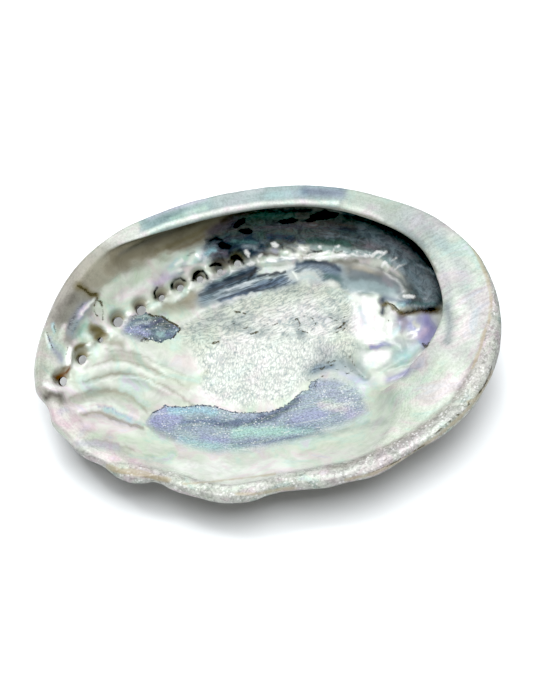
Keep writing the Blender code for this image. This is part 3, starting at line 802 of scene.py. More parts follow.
HIGHLIGHT_MARKS = (
    (0, (271, 243), (275, 242), (279, 245), (277, 248), (272, 247)),
    (0, (243, 250), (247, 249), (250, 253), (249, 258), (246, 255)),
    (0, (247, 264), (251, 261), (257, 262), (255, 265), (250, 266)),
    (0, (296, 247), (300, 246), (306, 250), (303, 252), (298, 250)), (0.9, (284, 252), (287, 252)),
    (1, (259, 257), (262, 254)), (1, (268, 260), (276, 261)), (1, (282, 257), (290, 259), (294, 258)),
    (1.5, (304, 258), (311, 257), (318, 256), (325, 253), (329, 251)),
    (2.1, (317, 259), (326, 258), (336, 256), (346, 255)),
    (1.3, (346, 258), (352, 254), (358, 256), (366, 257)), (1.2, (357, 253), (362, 252), (368, 256)),
    (1.6, (372, 256), (377, 252), (384, 253)), (1.2, (378, 258), (386, 252)),
    (1.8, (382, 266), (385, 262), (388, 266)), (1, (392, 261), (396, 258)),
    (1, (395, 269), (400, 266), (406, 264)), (0.9, (319, 247), (321, 248)), (1, (336, 247), (339, 246)),
    (1.2, (332, 254), (334, 250)), (2, (404, 296), (413, 297)), (1.4, (196, 255), (200, 257)),
    (1.4, (407, 334), (413, 332), (419, 329)), (1, (413, 337), (417, 334)),
)
CRACKS = (
    (1.6, (79, 286), (85, 290), (91, 295), (96, 294)),
    (1, (96, 294), (98, 300), (102, 305), (103, 312), (103, 320)), (1.6, (101, 302), (102, 306)),
    (0.8, (96, 299), (94, 307), (95, 313), (98, 317)), (0.8, (47, 333), (50, 341), (52, 347), (54, 351)),
    (0.8, (54, 326), (56, 332)),
    (1.3, (147, 314), (153, 316), (161, 316), (169, 321), (176, 325), (181, 329)),
    (1, (181, 329), (177, 333), (173, 338)), (1, (141, 341), (145, 338), (149, 341)),
    (0.9, (384, 303), (392, 304), (397, 309), (402, 313)), (0.9, (350, 356), (353, 363), (357, 369)),
    (1.5, (423, 344), (426, 347), (429, 343)), (0.8, (388, 319), (389, 321)), (1.5, (213, 343), (219, 342)),
    (1.1, (235, 312), (240, 312)), (0.7, (243, 313), (247, 314)), (1.3, (251, 334), (258, 332)),
    (0.8, (272, 325), (278, 324)), (1, (336, 329), (341, 327), (345, 322)), (0.7, (302, 331), (308, 333)),
    (0.7, (292, 323), (297, 318), (300, 324), (299, 330)),
    (0.6, (304, 316), (312, 318), (316, 324), (311, 331)), (0.6, (328, 316), (336, 321), (346, 316)),
    (0.6, (333, 333), (342, 331), (348, 325)), (0.6, (262, 327), (270, 323)),
    (0.6, (226, 330), (232, 324), (238, 322)), (0.7, (243, 329), (248, 327)),
    (0.9, (318, 367), (322, 369), (325, 367)), (0.8, (316, 363), (319, 361)), (0.9, (328, 364), (333, 366)),
    (0.8, (336, 369), (340, 371)), (0.8, (350, 369), (354, 373)), (0.8, (358, 374), (363, 376)),
    (0.7, (324, 364), (329, 361), (334, 363)), (0.7, (326, 373), (331, 375)), (0.7, (342, 363), (346, 367)),
    (0.8, (312, 374), (316, 372)), (0.7, (334, 360), (338, 361)), (0.7, (320, 377), (324, 376)),
    (0.7, (345, 372), (349, 374)), (0.6, (308, 380), (311, 378)), (0.6, (330, 379), (335, 379)),
    (0.9, (142, 341), (148, 343)), (0.5, (67, 361), (66, 354), (68, 347)),
    (1.1, (436, 433), (447, 424), (458, 415), (467, 406), (472, 399)),
    (0.8, (366, 475), (381, 469), (396, 462), (412, 452), (425, 445)),
    (0.9, (476, 397), (483, 388), (489, 376), (492, 366)),
)
TAN_LINES = (
    (1.6, (440, 214), (450, 224), (462, 234), (472, 246), (480, 261), (487, 277), (491, 296), (490, 318)),
    (1.4, (490, 318), (484, 333), (478, 354), (472, 368)),
    (0.9, (183, 484), (209, 482), (234, 479), (252, 477), (275, 474)),
    (2.6, (108, 467), (121, 471), (140, 472), (154, 477), (169, 480)), (1.8, (468, 402), (474, 400)),
    (1.6, (345, 480), (372, 474), (396, 463), (412, 454), (436, 437)),
    (1.6, (440, 434), (456, 421), (470, 407), (476, 399), (486, 386), (492, 372)),
    (1.4, (236, 494), (258, 494), (276, 490), (296, 488)),
)

# Paint of the lip's band in photo pixels
LIP_STROKES = (
    ("stone", 3, 0.75,
        (330, 467), (345, 465), (367, 456), (392, 444), (410, 435), (429, 422), (447, 406), (458, 395),
        (466, 382), (474, 362)),
    ("stone", 2, 0.6, (478, 352), (484, 336), (488, 322)),
    ("mauve", 3, 0.4, (376, 456), (400, 446), (424, 430)),
    ("cream", 3, 0.6, (170, 480), (200, 486), (230, 488), (262, 484)),
    ("cream", 2.5, 0.6, (300, 478), (340, 474), (372, 464), (388, 456)),
    ("white", 2, 0.8, (400, 452), (424, 438), (450, 418)),
    ("straw", 3, 0.6, (110, 464), (130, 468), (150, 470)),
    ("tan", 2, 0.8, (112, 470), (130, 474), (150, 477), (166, 480)),
    ("pink", 5, 0.3, (466, 396), (478, 372), (488, 342)),
)


def smoothstep(value, low, high):
    """0 below low, 1 above high, and a smooth rise between."""
    share = np.clip((value - low) / (high - low), 0.0, 1.0)
    return share * share * (3.0 - 2.0 * share)


def fade(value, low, high):
    """1 below low, 0 above high, and a smooth fall between."""
    return 1.0 - smoothstep(value, low, high)


def bell(distance, width):
    """1 at no distance, falling away smoothly to both sides."""
    return np.exp(-((distance / width) ** 2))


def hermite(start, end, slope_in, slope_out, t):
    """A cubic from start to end with the given end slopes, at t from 0 to 1."""
    return (
        (2 * t**3 - 3 * t**2 + 1) * start
        + (t**3 - 2 * t**2 + t) * slope_in
        + (-2 * t**3 + 3 * t**2) * end
        + (t**3 - t**2) * slope_out
    )


def loop_values(table, degrees):
    """A smooth closed curve through (angle, value) pairs, read at an array of angles."""
    knots = np.array(table, float)
    turn = np.array((360.0, 0.0))
    knots = np.vstack([knots[-2:] - turn, knots, knots[:2] + turn])
    degrees = np.asarray(degrees, float) % 360.0
    after = np.searchsorted(knots[:, 0], degrees, side="right")
    p0, p1, p2, p3 = (knots[after + k] for k in (-2, -1, 0, 1))
    span = p2[:, 0] - p1[:, 0]
    slope_in = (p2[:, 1] - p0[:, 1]) / (p2[:, 0] - p0[:, 0]) * span
    slope_out = (p3[:, 1] - p1[:, 1]) / (p3[:, 0] - p1[:, 0]) * span
    return hermite(p1[:, 1], p2[:, 1], slope_in, slope_out, (degrees - p1[:, 0]) / span)


def shares(table, degrees):
    """As loop_values, kept between 0 and 1."""
    return np.clip(loop_values(table, degrees), 0.0, 1.0)


def unit(degrees):
    """Plan directions of an array of angles."""
    angle = np.radians(degrees)
    return np.stack([np.cos(angle), np.sin(angle)], axis=-1)


def profile_points(profile, reach, base, rise):
    """A profile's points as an array of sections by points by (r, z)."""
    part = np.array(profile)
    return np.stack([np.outer(reach, part[:, 0]), base + np.outer(rise, part[:, 1])], axis=-1)


def stacked(pairs):
    """Points given as (r, z) arrays over the sections, in the form of profile_points."""
    return np.stack([np.stack(pair, axis=-1) for pair in pairs], axis=1)


def shelf_sections(radius, height, width):
    """Sections where the shelf overhangs the wall, from floor to base."""
    wall = radius - WALL
    edge = radius - width
    top = height - SHELF_DROP
    underside = top - SHELF_EDGE_THICKNESS
    shelf = stacked([
        ((wall + edge) / 2, underside - SHELF_ROOT_DROP),
        (edge + SHELF_EDGE_ROUND, underside),
        (edge, (top + underside) / 2),
        (edge + SHELF_EDGE_ROUND, top),
        (radius - width / 2, height - SHELF_DROP_HALFWAY),
        (radius - SHELF_RIM_WIDTH, height),
        (radius, height - SHELF_RIM_DROP),
    ])
    inner = profile_points(SHELF_INSIDE, wall, FLOOR_HEIGHT, height - OVERHANG_HEIGHT - FLOOR_HEIGHT)
    return np.concatenate([inner, shelf, profile_points(SHELF_OUTSIDE, radius, 0.0, height)], axis=1)


def crest_points(radius, height):
    """The rounded crest of the lip."""
    return stacked([(radius - CREST_WIDTH, height), (radius, height - CREST_DROP)])


def lip_sections(radius, height):
    """Sections at the plain outer lip, from floor to base."""
    band = stacked([(radius - width, height - drop) for width, drop in (BAND_FOOT, BAND_SHOULDER)])
    inner = profile_points(LIP_INSIDE, radius - LIP_WIDTH, FLOOR_HEIGHT, height - LIP_DROP - FLOOR_HEIGHT)
    outer = profile_points(LIP_OUTSIDE, radius, 0.0, height)
    return np.concatenate([inner, band, crest_points(radius, height), outer], axis=1)


def ramp_sections(radius, height):
    """Sections where the shelf winds down as a ramp, from floor to base."""
    inner = profile_points(RAMP_INSIDE, radius, FLOOR_HEIGHT, height - FLOOR_HEIGHT)
    outer = profile_points(RAMP_OUTSIDE, radius, 0.0, height)
    return np.concatenate([inner, crest_points(radius, height), outer], axis=1)


def rim_place(degrees):
    """Plan points of the rim's outer edge."""
    return FLOOR_CENTRE + loop_values(RIM_TABLE, degrees)[:, None] * unit(degrees)


def sections(degrees):
    """Control points at an array of angles: sections by points by (r, z)."""
    radius = loop_values(RIM_TABLE, degrees)
    place = rim_place(degrees)
    height = RIM_MID_HEIGHT + RIM_RISE_PER_X * place[:, 0] + RIM_RISE_PER_Y * place[:, 1]
    shelf = shares(SHELF_SHARE, degrees)[:, None, None]
    ramp = np.minimum(shares(RAMP_SHARE, degrees)[:, None, None], 1.0 - shelf)
    return (
        shelf * shelf_sections(radius, height, loop_values(SHELF_WIDTH, degrees))
        + ramp * ramp_sections(radius, height)
        + (1.0 - shelf - ramp) * lip_sections(radius, height)
    )


def on_sections(control, station):
    """(r, z) at one station of each section, on a smooth curve that is level at both poles."""
    span = min(int(station), STATIONS - 1)
    mirror = np.array((-1.0, 1.0))

    def knot(i):
        if i < 0:
            return control[:, 1] * mirror
        if i > STATIONS:
            return control[:, -2] * mirror
        return control[:, i]

    p0, p1, p2, p3 = (knot(span + k) for k in (-1, 0, 1, 2))
    d1, d2, d3 = (np.sqrt(np.linalg.norm(b - a, axis=1))[:, None] for a, b in ((p0, p1), (p1, p2), (p2, p3)))
    slope_in = ((p1 - p0) / d1 - (p2 - p0) / (d1 + d2) + (p2 - p1) / d2) * d2
    slope_out = ((p2 - p1) / d2 - (p3 - p1) / (d2 + d3) + (p3 - p2) / d3) * d2
    return hermite(p1, p2, slope_in, slope_out, station - span)


def smooth_path(points, steps):
    """Points along a smooth open curve through the given ones."""
    knots = np.array([points[0], *points, points[-1]], float)
    path = []
    for p0, p1, p2, p3 in zip(knots, knots[1:], knots[2:], knots[3:]):
        for step in range(steps):
            path.append(hermite(p1, p2, (p2 - p0) / 2, (p3 - p1) / 2, step / steps))
    path.append(knots[-1])
    return np.array(path)


def along_path(path, distance):
    """The point at a distance along a path."""
    steps = np.linalg.norm(np.diff(path, axis=0), axis=1)
    travelled = np.concatenate([[0.0], np.cumsum(steps)])
    return np.array([np.interp(distance, travelled, path[:, axis]) for axis in (0, 1)])


def line_distance(points, line):
    """Distance of points to a line of segments, and how far along it they are, from 0 to 1."""
    line = np.asarray(line, float)
    best = np.full(len(points), np.inf)
    along = np.zeros(len(points))
    for i, (start, end) in enumerate(zip(line, line[1:])):
        run = end - start
        share = np.clip(((points - start) @ run) / max(run @ run, 1e-9), 0.0, 1.0)
        distance = np.linalg.norm(points - start - share[:, None] * run, axis=1)
        nearer = distance < best
        best[nearer] = distance[nearer]
        along[nearer] = (i + share[nearer]) / (len(line) - 1)
    return best, along


def outline_distance(points, outline):
    """Distance of points to a closed outline, negative inside it."""
    outline = np.asarray(outline, float)
    distance, _ = line_distance(points, np.vstack([outline, outline[:1]]))
    inside = np.zeros(len(points), bool)
    for (x0, y0), (x1, y1) in zip(outline, np.roll(outline, -1, axis=0)):
        crosses = (y0 > points[:, 1]) != (y1 > points[:, 1])
        reach = x0 + (points[:, 1] - y0) / (y1 - y0 if y1 != y0 else 1.0) * (x1 - x0)
        inside ^= crosses & (points[:, 0] < reach)
    return np.where(inside, -distance, distance)


def lumps(points, size, seed):
    """Smooth noise from -1 to 1, with lumps of the given size."""
    where = np.asarray(points, float) / size + 1000.0 + 17.31 * seed
    cell = np.floor(where).astype(np.int64)
    part = where - cell
    part = part * part * (3.0 - 2.0 * part)
    total = np.zeros(len(where))
    for corner in itertools.product((0, 1), repeat=where.shape[1]):
        mixed = np.zeros(len(where), np.int64)
        weight = np.ones(len(where))
        for axis, step in enumerate(corner):
            mixed += (cell[:, axis] + step) * (374761393, 668265263, 1103515245)[axis]
            weight *= part[:, axis] if step else 1.0 - part[:, axis]
        mixed = ((mixed ^ (mixed >> 13)) * 1274126177) & 0x7FFFFFFF
        mixed ^= mixed >> 16
        total += weight * ((mixed & 0xFFFF) / 32767.5 - 1.0)
    return total


def drift(points, size, seed):
    """Shifts of points in the plane, from -1 to 1 each way."""
    return np.column_stack([lumps(points, size, seed), lumps(points, size, seed + 1)])


class Lens:
    """The photograph's camera: where a point in millimetres falls in the photo's pixels."""

    def __init__(self):
        tilt = math.radians(CAMERA_ELEVATION)
        self.forward = np.array((0.0, math.cos(tilt), -math.sin(tilt)))
        self.right = np.array((1.0, 0.0, 0.0))
        self.up = np.cross(self.right, self.forward)
        self.place = np.array(CAMERA_TARGET) - CAMERA_DISTANCE * self.forward
        self.focal = PHOTO_HEIGHT * LENS / SENSOR

    def pixels(self, points):
        """Photo pixels of an array of points."""
        ray = points - self.place
        depth = ray @ self.forward
        return np.stack([
            PHOTO_WIDTH / 2 + self.focal * (ray @ self.right) / depth,
            PHOTO_HEIGHT / 2 - self.focal * (ray @ self.up) / depth,
        ], axis=-1)


class Shell:
    """The shell's vertices with their angle and station, and the faces that join them."""

    def __init__(self):
        self.table = sections(np.arange(0.0, 360.0, TABLE_STEP))
        self.row_path = smooth_path(ROW_PATH, PATH_STEPS)
        self.lens = Lens()
        places, angles, stations, sizes = [], [], [], []
        for station, size in self.rings():
            degrees = 360.0 * np.arange(size) / size
            places.append(self.place(degrees, station))
            angles.append(degrees)
            stations.append(np.full(size, station))
            sizes.append(size)
        floor = np.array([[*FLOOR_CENTRE, FLOOR_HEIGHT]])
        base = np.array([[*FLOOR_CENTRE, 0.0]])
        self.points = np.vstack([*places, floor, base])
        self.angle = np.concatenate([*angles, [0.0, 0.0]])
        self.station = np.concatenate([*stations, [0.0, STATIONS]])
        self.faces = self.stitch(sizes)

    def place(self, degrees, station):
        """Points at one station of the sections at some angles, with spire and keel."""
        index = degrees / TABLE_STEP
        low = np.floor(index).astype(int)
        part = (index - low)[:, None, None]
        high = (low + 1) % len(self.table)
        control = self.table[low] * (1.0 - part) + self.table[high] * part
        r, z = on_sections(control, station).T
        outward = unit(degrees)
        plan = FLOOR_CENTRE + r[:, None] * outward
        is_outside = station > CREST - CREST_HALF_WIDTH
        on_inside = plan - WALL * KEEL_SLANT * outward if is_outside else plan
        from_row, _ = line_distance(on_inside, self.row_path)
        keel = KEEL_SLANT * KEEL_HEIGHT * bell(from_row, KEEL_WIDTH)
        from_spire = np.linalg.norm(plan - SPIRE_PLACE, axis=1)
        spire = SPIRE_DEPTH * bell(from_spire, SPIRE_RADIUS)
        z = z - keel - spire
        if is_outside:
            over = smoothstep(station, CREST - CREST_HALF_WIDTH, CREST + CREST_HALF_WIDTH)
            z = np.maximum(z - WORN_DEPTH * over, 0.0)
        return np.column_stack([plan + keel[:, None] * outward, z])

    def rings(self):
        """(station, number of columns) of each ring, evenly spaced over the surface."""
        fine = np.linspace(0.0, STATIONS, STATION_STEPS * STATIONS + 1)
        every = self.table[:: len(self.table) // MEASURED_SECTIONS]
        curve = np.array([on_sections(every, s) for s in fine])
        steps = np.linalg.norm(np.diff(curve, axis=0), axis=2)
        length = steps.mean(axis=1)
        middle = (fine[1:] + fine[:-1]) / 2
        beyond = np.where(middle < RIM_END, RIM_SPACING, OUTSIDE_SPACING)
        spacing = np.where(middle < UNDERSIDE, INSIDE_SPACING, beyond)
        rows = np.concatenate([[0.0], np.cumsum(length / spacing)])
        count = int(rows[-1])
        stations = np.interp(np.arange(1, count) * rows[-1] / count, rows, fine)
        for station in stations:
            reach = np.interp(station, fine, curve[:, :, 0].mean(axis=1))
            gap = INSIDE_SPACING if station < RIM_END else OUTSIDE_SPACING
            wanted = 2.0 * math.pi * reach / gap
            yield station, min(RING_SIZES, key=lambda size: abs(math.log(size / wanted)))

    def stitch(self, sizes):
        """Faces between neighbouring rings, and fans at the floor's and the base's middle."""
        starts = np.concatenate([[0], np.cumsum(sizes)])
        floor, base = int(starts[-1]), int(starts[-1]) + 1
        faces = [(floor, k, (k + 1) % sizes[0]) for k in range(sizes[0])]
        for a, b, n, m in zip(starts, starts[1:], sizes, sizes[1:]):
            a, b = int(a), int(b)
            if n == m:
                faces += [(a + k, b + k, b + (k + 1) % m, a + (k + 1) % n) for k in range(n)]
                continue
            i = j = 0
            while i < n or j < m:
                if j >= m or (i < n and (i + 1) * m <= (j + 1) * n):
                    faces.append((a + i % n, b + j % m, a + (i + 1) % n))
                    i += 1
                else:
                    faces.append((a + i % n, b + j % m, b + (j + 1) % m))
                    j += 1
        last, size = int(starts[-2]), sizes[-1]
        faces += [(last + k, base, last + (k + 1) % size) for k in range(size)]
        return faces

    def normals(self):
        """Unit normals at the vertices."""
        second_halves = [(f[0], f[2], f[3]) for f in self.faces if len(f) == 4]
        corners = np.array([f[:3] for f in self.faces] + second_halves)
        a, b, c = (self.points[corners[:, k]] for k in range(3))
        face = np.cross(b - a, c - a)
        total = np.zeros_like(self.points)
        for k in range(3):
            np.add.at(total, corners[:, k], face)
        return total / np.maximum(np.linalg.norm(total, axis=1), 1e-12)[:, None]

    def push(self, height):
        """Moves the surface along its normals."""
        self.points += self.normals() * height[:, None]

    def in_bowl(self):
        """1 on the bowl's inner surface, falling to 0 under the shelf and at the lip's crest."""
        low = RELIEF_END - RELIEF_END_SHIFT * shares(SHELF_SHARE, self.angle)
        return fade(self.station, low, low + RELIEF_FADE)

    def on_top(self):
        """1 on the shelf's top and on the lip's inner face, 0 elsewhere."""
        shelf = shares(SHELF_SHARE, self.angle)
        return (1.0 - shelf * fade(self.station, *SHELF_TOP)) * fade(self.station, *LIP_END)


class Apex:
    """Growth coordinates about the spire: how grown, from 0 at the apex to 1 at the rim, and where."""

    def __init__(self):
        rim = rim_place(np.arange(0.0, 360.0, 2.0)) - SPIRE_PLACE
        angle = np.arctan2(rim[:, 1], rim[:, 0])
        order = np.argsort(angle)
        self.angle = angle[order]
        self.reach = np.linalg.norm(rim, axis=1)[order]

    def growth(self, points):
        """(growth, swept angle) of an array of points."""
        run = points[:, :2] - SPIRE_PLACE
        angle = np.arctan2(run[:, 1], run[:, 0])
        reach = np.interp(angle, self.angle, self.reach, period=2.0 * math.pi)
        growth = np.maximum(np.linalg.norm(run, axis=1) / reach, 0.02)
        return growth, angle + math.radians(SWEEP) * np.log(growth)

    def growth_places(self, points, radius, length):
        """Places on a tube, with the swept angle round it and the growth along it."""
        growth, swept = self.growth(points)
        return np.column_stack([radius * np.cos(swept), radius * np.sin(swept), length * growth])


def closed_spots(shell):
    """Where the closed holes of the row meet the inner surface, and the normals there."""
    normals = shell.normals()
    inner = np.flatnonzero(shell.station < WALL_END)
    spots = []
    distance, spacing = 0.0, HOLE_SPACING
    for i in range(HOLE_COUNT + CLOSED_HOLES):
        if i >= HOLE_COUNT:
            plan = along_path(shell.row_path, distance)
            at = inner[np.linalg.norm(shell.points[inner, :2] - plan, axis=1).argmin()]
            spots.append((shell.points[at].copy(), normals[at].copy()))
        distance += spacing
        spacing *= HOLE_SPACING_RATIO
    return spots


def open_spots(shell):
    """Where the open holes meet the inner surface, and the normals there."""
    normals = shell.normals()
    at = shell.lens.pixels(shell.points)
    inner = np.flatnonzero(shell.station < WALL_END)
    nearest = [inner[np.linalg.norm(at[inner] - hole[:2], axis=1).argmin()] for hole in HOLES]
    return [(shell.points[i].copy(), normals[i].copy()) for i in nearest]


def shape_wells(shell):
    """Hollows that lead to the open holes, each with a low collar."""
    at = shell.lens.pixels(shell.points)
    height = np.zeros(len(at))
    for x, y, _, _ in HOLES:
        from_well = np.linalg.norm(at - (x, y - WELL_LIFT), axis=1)
        from_funnel = np.linalg.norm(at - (x, y - FUNNEL_LIFT), axis=1)
        height -= WELL_DEPTH * bell(from_well, WELL_REACH)
        height -= FUNNEL_DEPTH * bell(from_funnel, FUNNEL_REACH)
        height += COLLAR_HEIGHT * bell(from_well - COLLAR_REACH, COLLAR_WIDTH)
    shell.push(height * shell.in_bowl())


def shape_rim(shell):
    """The outer lip's lobes."""
    weight = smoothstep(shell.station, *LOBES_START) * fade(shell.station, *LOBES_END)
    push = weight * loop_values(LOBES, shell.angle)
    shell.points[:, :2] += push[:, None] * unit(shell.angle)


def shape_lines(shell, lines, taper):
    """Ridges and grooves along lines of photo pixels, tapered by a share of their length or else beaded."""
    at = shell.lens.pixels(shell.points)
    at += drift(at, 6.0, 3)
    height = np.zeros(len(shell.points))
    beaded = 1.0 + 0.6 * lumps(at, 8.0, 2)
    for rise, width, *line in lines:
        distance, along = line_distance(at, smooth_path(line, LINE_STEPS))
        ends = smoothstep(along, 0.0, taper) * fade(along, 1.0 - 2.0 * taper, 1.0) if taper else beaded
        height += rise * ends * bell(distance, width)
    shell.push(height * shell.in_bowl())


def shape_scar(shell):
    """The muscle scar's rough floor, and the shallow steps where the pale layer is missing."""
    at = shell.lens.pixels(shell.points)
    inside = fade(outline_distance(at, SCAR), -4.0, 2.0)
    along = shell.points[:, :2] @ np.array(((0.92, -0.39), (0.39, 0.92)))
    rough = lumps(along / (3.2, 1.1), 1.0, 5) + 0.6 * lumps(along / (1.8, 0.8), 1.0, 6)
    step = np.zeros(len(at))
    for edge, deep, depth in PATCHES:
        full = fade(outline_distance(at, deep), -3.0, 7.0)
        step -= depth * full * fade(outline_distance(at, edge), -1.5, 0.5)
    shell.push((SCAR_ROUGHNESS * rough * inside + step) * shell.in_bowl())


def shape_lip(shell):
    """The lip's crystalline band: a low, uneven step inside the crest."""
    at = shell.lens.pixels(shell.points)
    band = fade(outline_distance(at, LIP_BAND), -1.5, 1.5) * shell.on_top()
    rough = 0.5 * lumps(shell.points, 1.6, 7) + lumps(shell.points, 5.0, 8)
    shell.push(band * (BAND_STEP + BAND_ROUGHNESS * rough))


def shape_shelf(shell):
    """Slight swells of the shelf's top."""
    top = shares(SHELF_SHARE, shell.angle) * shell.on_top()
    swell = lumps(shell.points * (1.0, 1.0, 0.3), 9.0, 9) + 0.5 * lumps(shell.points, 3.5, 10)
    shell.push(top * SHELF_SWELL * swell)


def whorls(points):
    """The suture's groove, wound about the spire and fading out along it."""
    turns = np.linspace(0.0, WHORL_TURNS * 2.0 * math.pi, WHORL_POINTS)
    reach = WHORL_START * np.exp(WHORL_GROWTH * turns)
    coil = np.array(SPIRE_PLACE) + reach[:, None] * unit(np.degrees(turns) + WHORL_ANGLE)
    suture, along = line_distance(points[:, :2], coil)
    return -SUTURE_DEPTH * bell(suture, SUTURE_WIDTH) * fade(along, 0.85, 1.0)


def tubercles(shell, spots, closed):
    """Knobs over the open and the closed holes."""
    knobs = [(place + 1.2 * WALL * shell.lens.forward, OPEN_TUBERCLE_REACH) for place, _ in spots]
    knobs += [(place - WALL * normal, CLOSED_TUBERCLE_REACH) for place, normal in closed]
    height = np.zeros(len(shell.points))
    for place, reach in knobs:
        distance = np.linalg.norm(shell.points - place, axis=1)
        height = np.maximum(height, TUBERCLE_HEIGHT * bell(distance, reach))
    return height


def shape_outside(shell, spots, closed):
    """The outside: tubercles, growth lines, cords, the spire's whorls and a rough crust."""
    weight = smoothstep(shell.station, *OUTSIDE_START)
    growth, swept = Apex().growth(shell.points)
    tube = Apex().growth_places(shell.points, *RIDGE_TUBE)
    lines = np.abs(lumps(tube, 2.6, 11)) * 0.5 - 0.8 * np.maximum(lumps(tube, 9.0, 12), 0.0)
    cords = CORD_HEIGHT * np.sin(CORD_COUNT * swept) * smoothstep(growth, 0.15, 0.5)
    rough = 0.16 * lumps(shell.points, 1.9, 13) + 0.26 * lumps(shell.points, 5.0, 14)
    fine = lines + cords + rough + whorls(shell.points)
    knobs = tubercles(shell, spots, closed)
    raised = smoothstep(shell.points[:, 2], 0.6, 3.0)
    shell.push(weight * (fine * (0.2 + 0.8 * raised) + knobs * raised))
    shell.points[:, 2] = np.maximum(shell.points[:, 2], 0.0)


def make_cutter(spots, lens):
    """One mesh of pins along the line of sight."""
    points, faces = [], []
    turns = 2.0 * math.pi * np.arange(PIN_SIDES) / PIN_SIDES
    for (place, normal), (_, _, radius, _) in zip(spots, HOLES):
        axis = PIN_LEAN * normal - lens.forward
        axis /= np.linalg.norm(axis)
        across = np.cross(axis, lens.up)
        across /= np.linalg.norm(across)
        other = np.cross(across, axis)
        top = [len(points) + k for k in range(PIN_SIDES)]
        for depth in (PIN_TOP, PIN_FOOT):
            for angle in turns:
                round_axis = math.cos(angle) * across + math.sin(angle) * other
                points.append(place + depth * axis + radius * round_axis)
        faces += [(a, b, b + PIN_SIDES, a + PIN_SIDES) for a, b in zip(top, top[1:] + top[:1])]
        faces += [tuple(reversed(top)), tuple(k + PIN_SIDES for k in top)]
    return new_object("hole_pins", np.array(points), faces)


def new_object(name, points, faces):
    """A mesh object from points in millimetres."""
    mesh = bpy.data.meshes.new(name)
    mesh.from_pydata((points * MM).tolist(), [], faces)
    mesh.update()
    thing = bpy.data.objects.new(name, mesh)
    bpy.context.scene.collection.objects.link(thing)
    return thing


def cut(thing, cutter):
    """Cuts one object with another, and removes the cutter."""
    modifier = thing.modifiers.new("cut", "BOOLEAN")
    modifier.operation = "DIFFERENCE"
    modifier.solver = "MANIFOLD"
    modifier.object = cutter
    graph = bpy.context.evaluated_depsgraph_get()
    mesh = bpy.data.meshes.new_from_object(thing.evaluated_get(graph))
    thing.modifiers.clear()
    old = thing.data
    thing.data = mesh
    bpy.data.meshes.remove(old)
    bpy.data.objects.remove(cutter, do_unlink=True)


def vertices_of(thing):
    """An object's vertices in millimetres."""
    flat = np.empty(3 * len(thing.data.vertices))
    thing.data.vertices.foreach_get("co", flat)
    return flat.reshape(-1, 3) / MM


def carry_over(shell, thing):
    """Gives the shell the object's vertices, each with the angle and station of the nearest old one."""
    tree = KDTree(len(shell.points))
    for i, point in enumerate(shell.points):
        tree.insert(point, i)
    tree.balance()
    points = vertices_of(thing)
    nearest = np.array([tree.find(point)[1] for point in points])
    shell.points = points
    shell.angle = shell.angle[nearest]
    shell.station = shell.station[nearest]


def linear(tint):
    """A linear colour from one as a screen shows it, from 0 to 255."""
    value = np.array(tint, float) / 255.0
    return np.where(value <= 0.04045, value / 12.92, ((value + 0.055) / 1.055) ** 2.4)


class Canvas:
    """Colours at the vertices, painted over with shapes given in photo pixels."""

    def __init__(self, at, tint):
        self.at = at
        self.tint = np.tile(linear(TINTS[tint]), (len(at), 1))

    def lay(self, tint, share):
        """One colour over the others, by its share at each vertex."""
        self.tint += (linear(TINTS[tint]) - self.tint) * share[:, None]

    def areas(self, rows, weight):
        """Areas with soft, uneven edges."""
        for tint, soft, share, *outline in rows:
            edge = outline_distance(self.at, outline) + 0.5 * soft * lumps(self.at, 7.0, soft)
            self.lay(tint, share * weight * fade(edge, -soft, soft))

    def strokes(self, rows, weight):
        """Strokes that fade to their sides."""
        for tint, width, share, *line in rows:
            distance, _ = line_distance(self.at, line)
            self.lay(tint, share * weight * np.exp(-((distance / width) ** 2.4)))

    def folds(self, weight):
        """Painted highlights on the folds' ridges and painted shade in their grooves."""
        for rise, width, *line in FOLDS:
            distance, along = line_distance(self.at, smooth_path(line, LINE_STEPS))
            ends = smoothstep(along, 0.0, 0.15) * fade(along, 0.6, 1.0)
            share = np.minimum(1.1 * abs(rise), 0.8) * ends * bell(distance, 1.1 * width)
            self.lay("white" if rise > 0.0 else "groove", weight * share)

    def wells(self, at, weight):
        """Painted shade on the open holes' wells and upper walls, and a painted highlight on the rim below
        each opening.
        """
        for x, y, _, tint in HOLES:
            away = at - (x, y)
            reach = np.linalg.norm(away, axis=1)
            upward = (away @ WELL_SHADOW) / np.maximum(reach, 1.0)
            well = np.linalg.norm(at - (x, y - WELL_LIFT), axis=1)
            self.lay("olive", 0.7 * weight * fade(well, 4.0, 13.0) * smoothstep(upward, -0.7, 0.4))
            self.lay(tint, 0.85 * weight * fade(reach, 4.5, 8.5) * smoothstep(upward, -0.1, 0.7))
            self.lay("white", 0.7 * weight * fade(reach, 5.0, 7.5) * smoothstep(-upward, 0.0, 0.6))

    def opaque(self):
        """The colours, each with an alpha of 1."""
        return np.column_stack([self.tint, np.ones(len(self.tint))])


def nearest_mark(at, rows):
    """Distance from the edge of the nearest line or outline, negative within it."""
    best = np.full(len(at), FAR)
    for width, *line in rows:
        distance = line_distance(at, line)[0] - width if width else outline_distance(at, line)
        best = np.minimum(best, distance)
    return best


def store(mesh, name, values):
    """Writes one number, or three, or a colour per vertex."""
    kinds = {1: ("FLOAT", "value"), 3: ("FLOAT_VECTOR", "vector"), 4: ("FLOAT_COLOR", "color")}
    kind, key = kinds[1 if values.ndim == 1 else values.shape[1]]
    attribute = mesh.attributes.new(name, kind, "POINT")
    attribute.data.foreach_set(key, values.astype(np.float32).ravel())


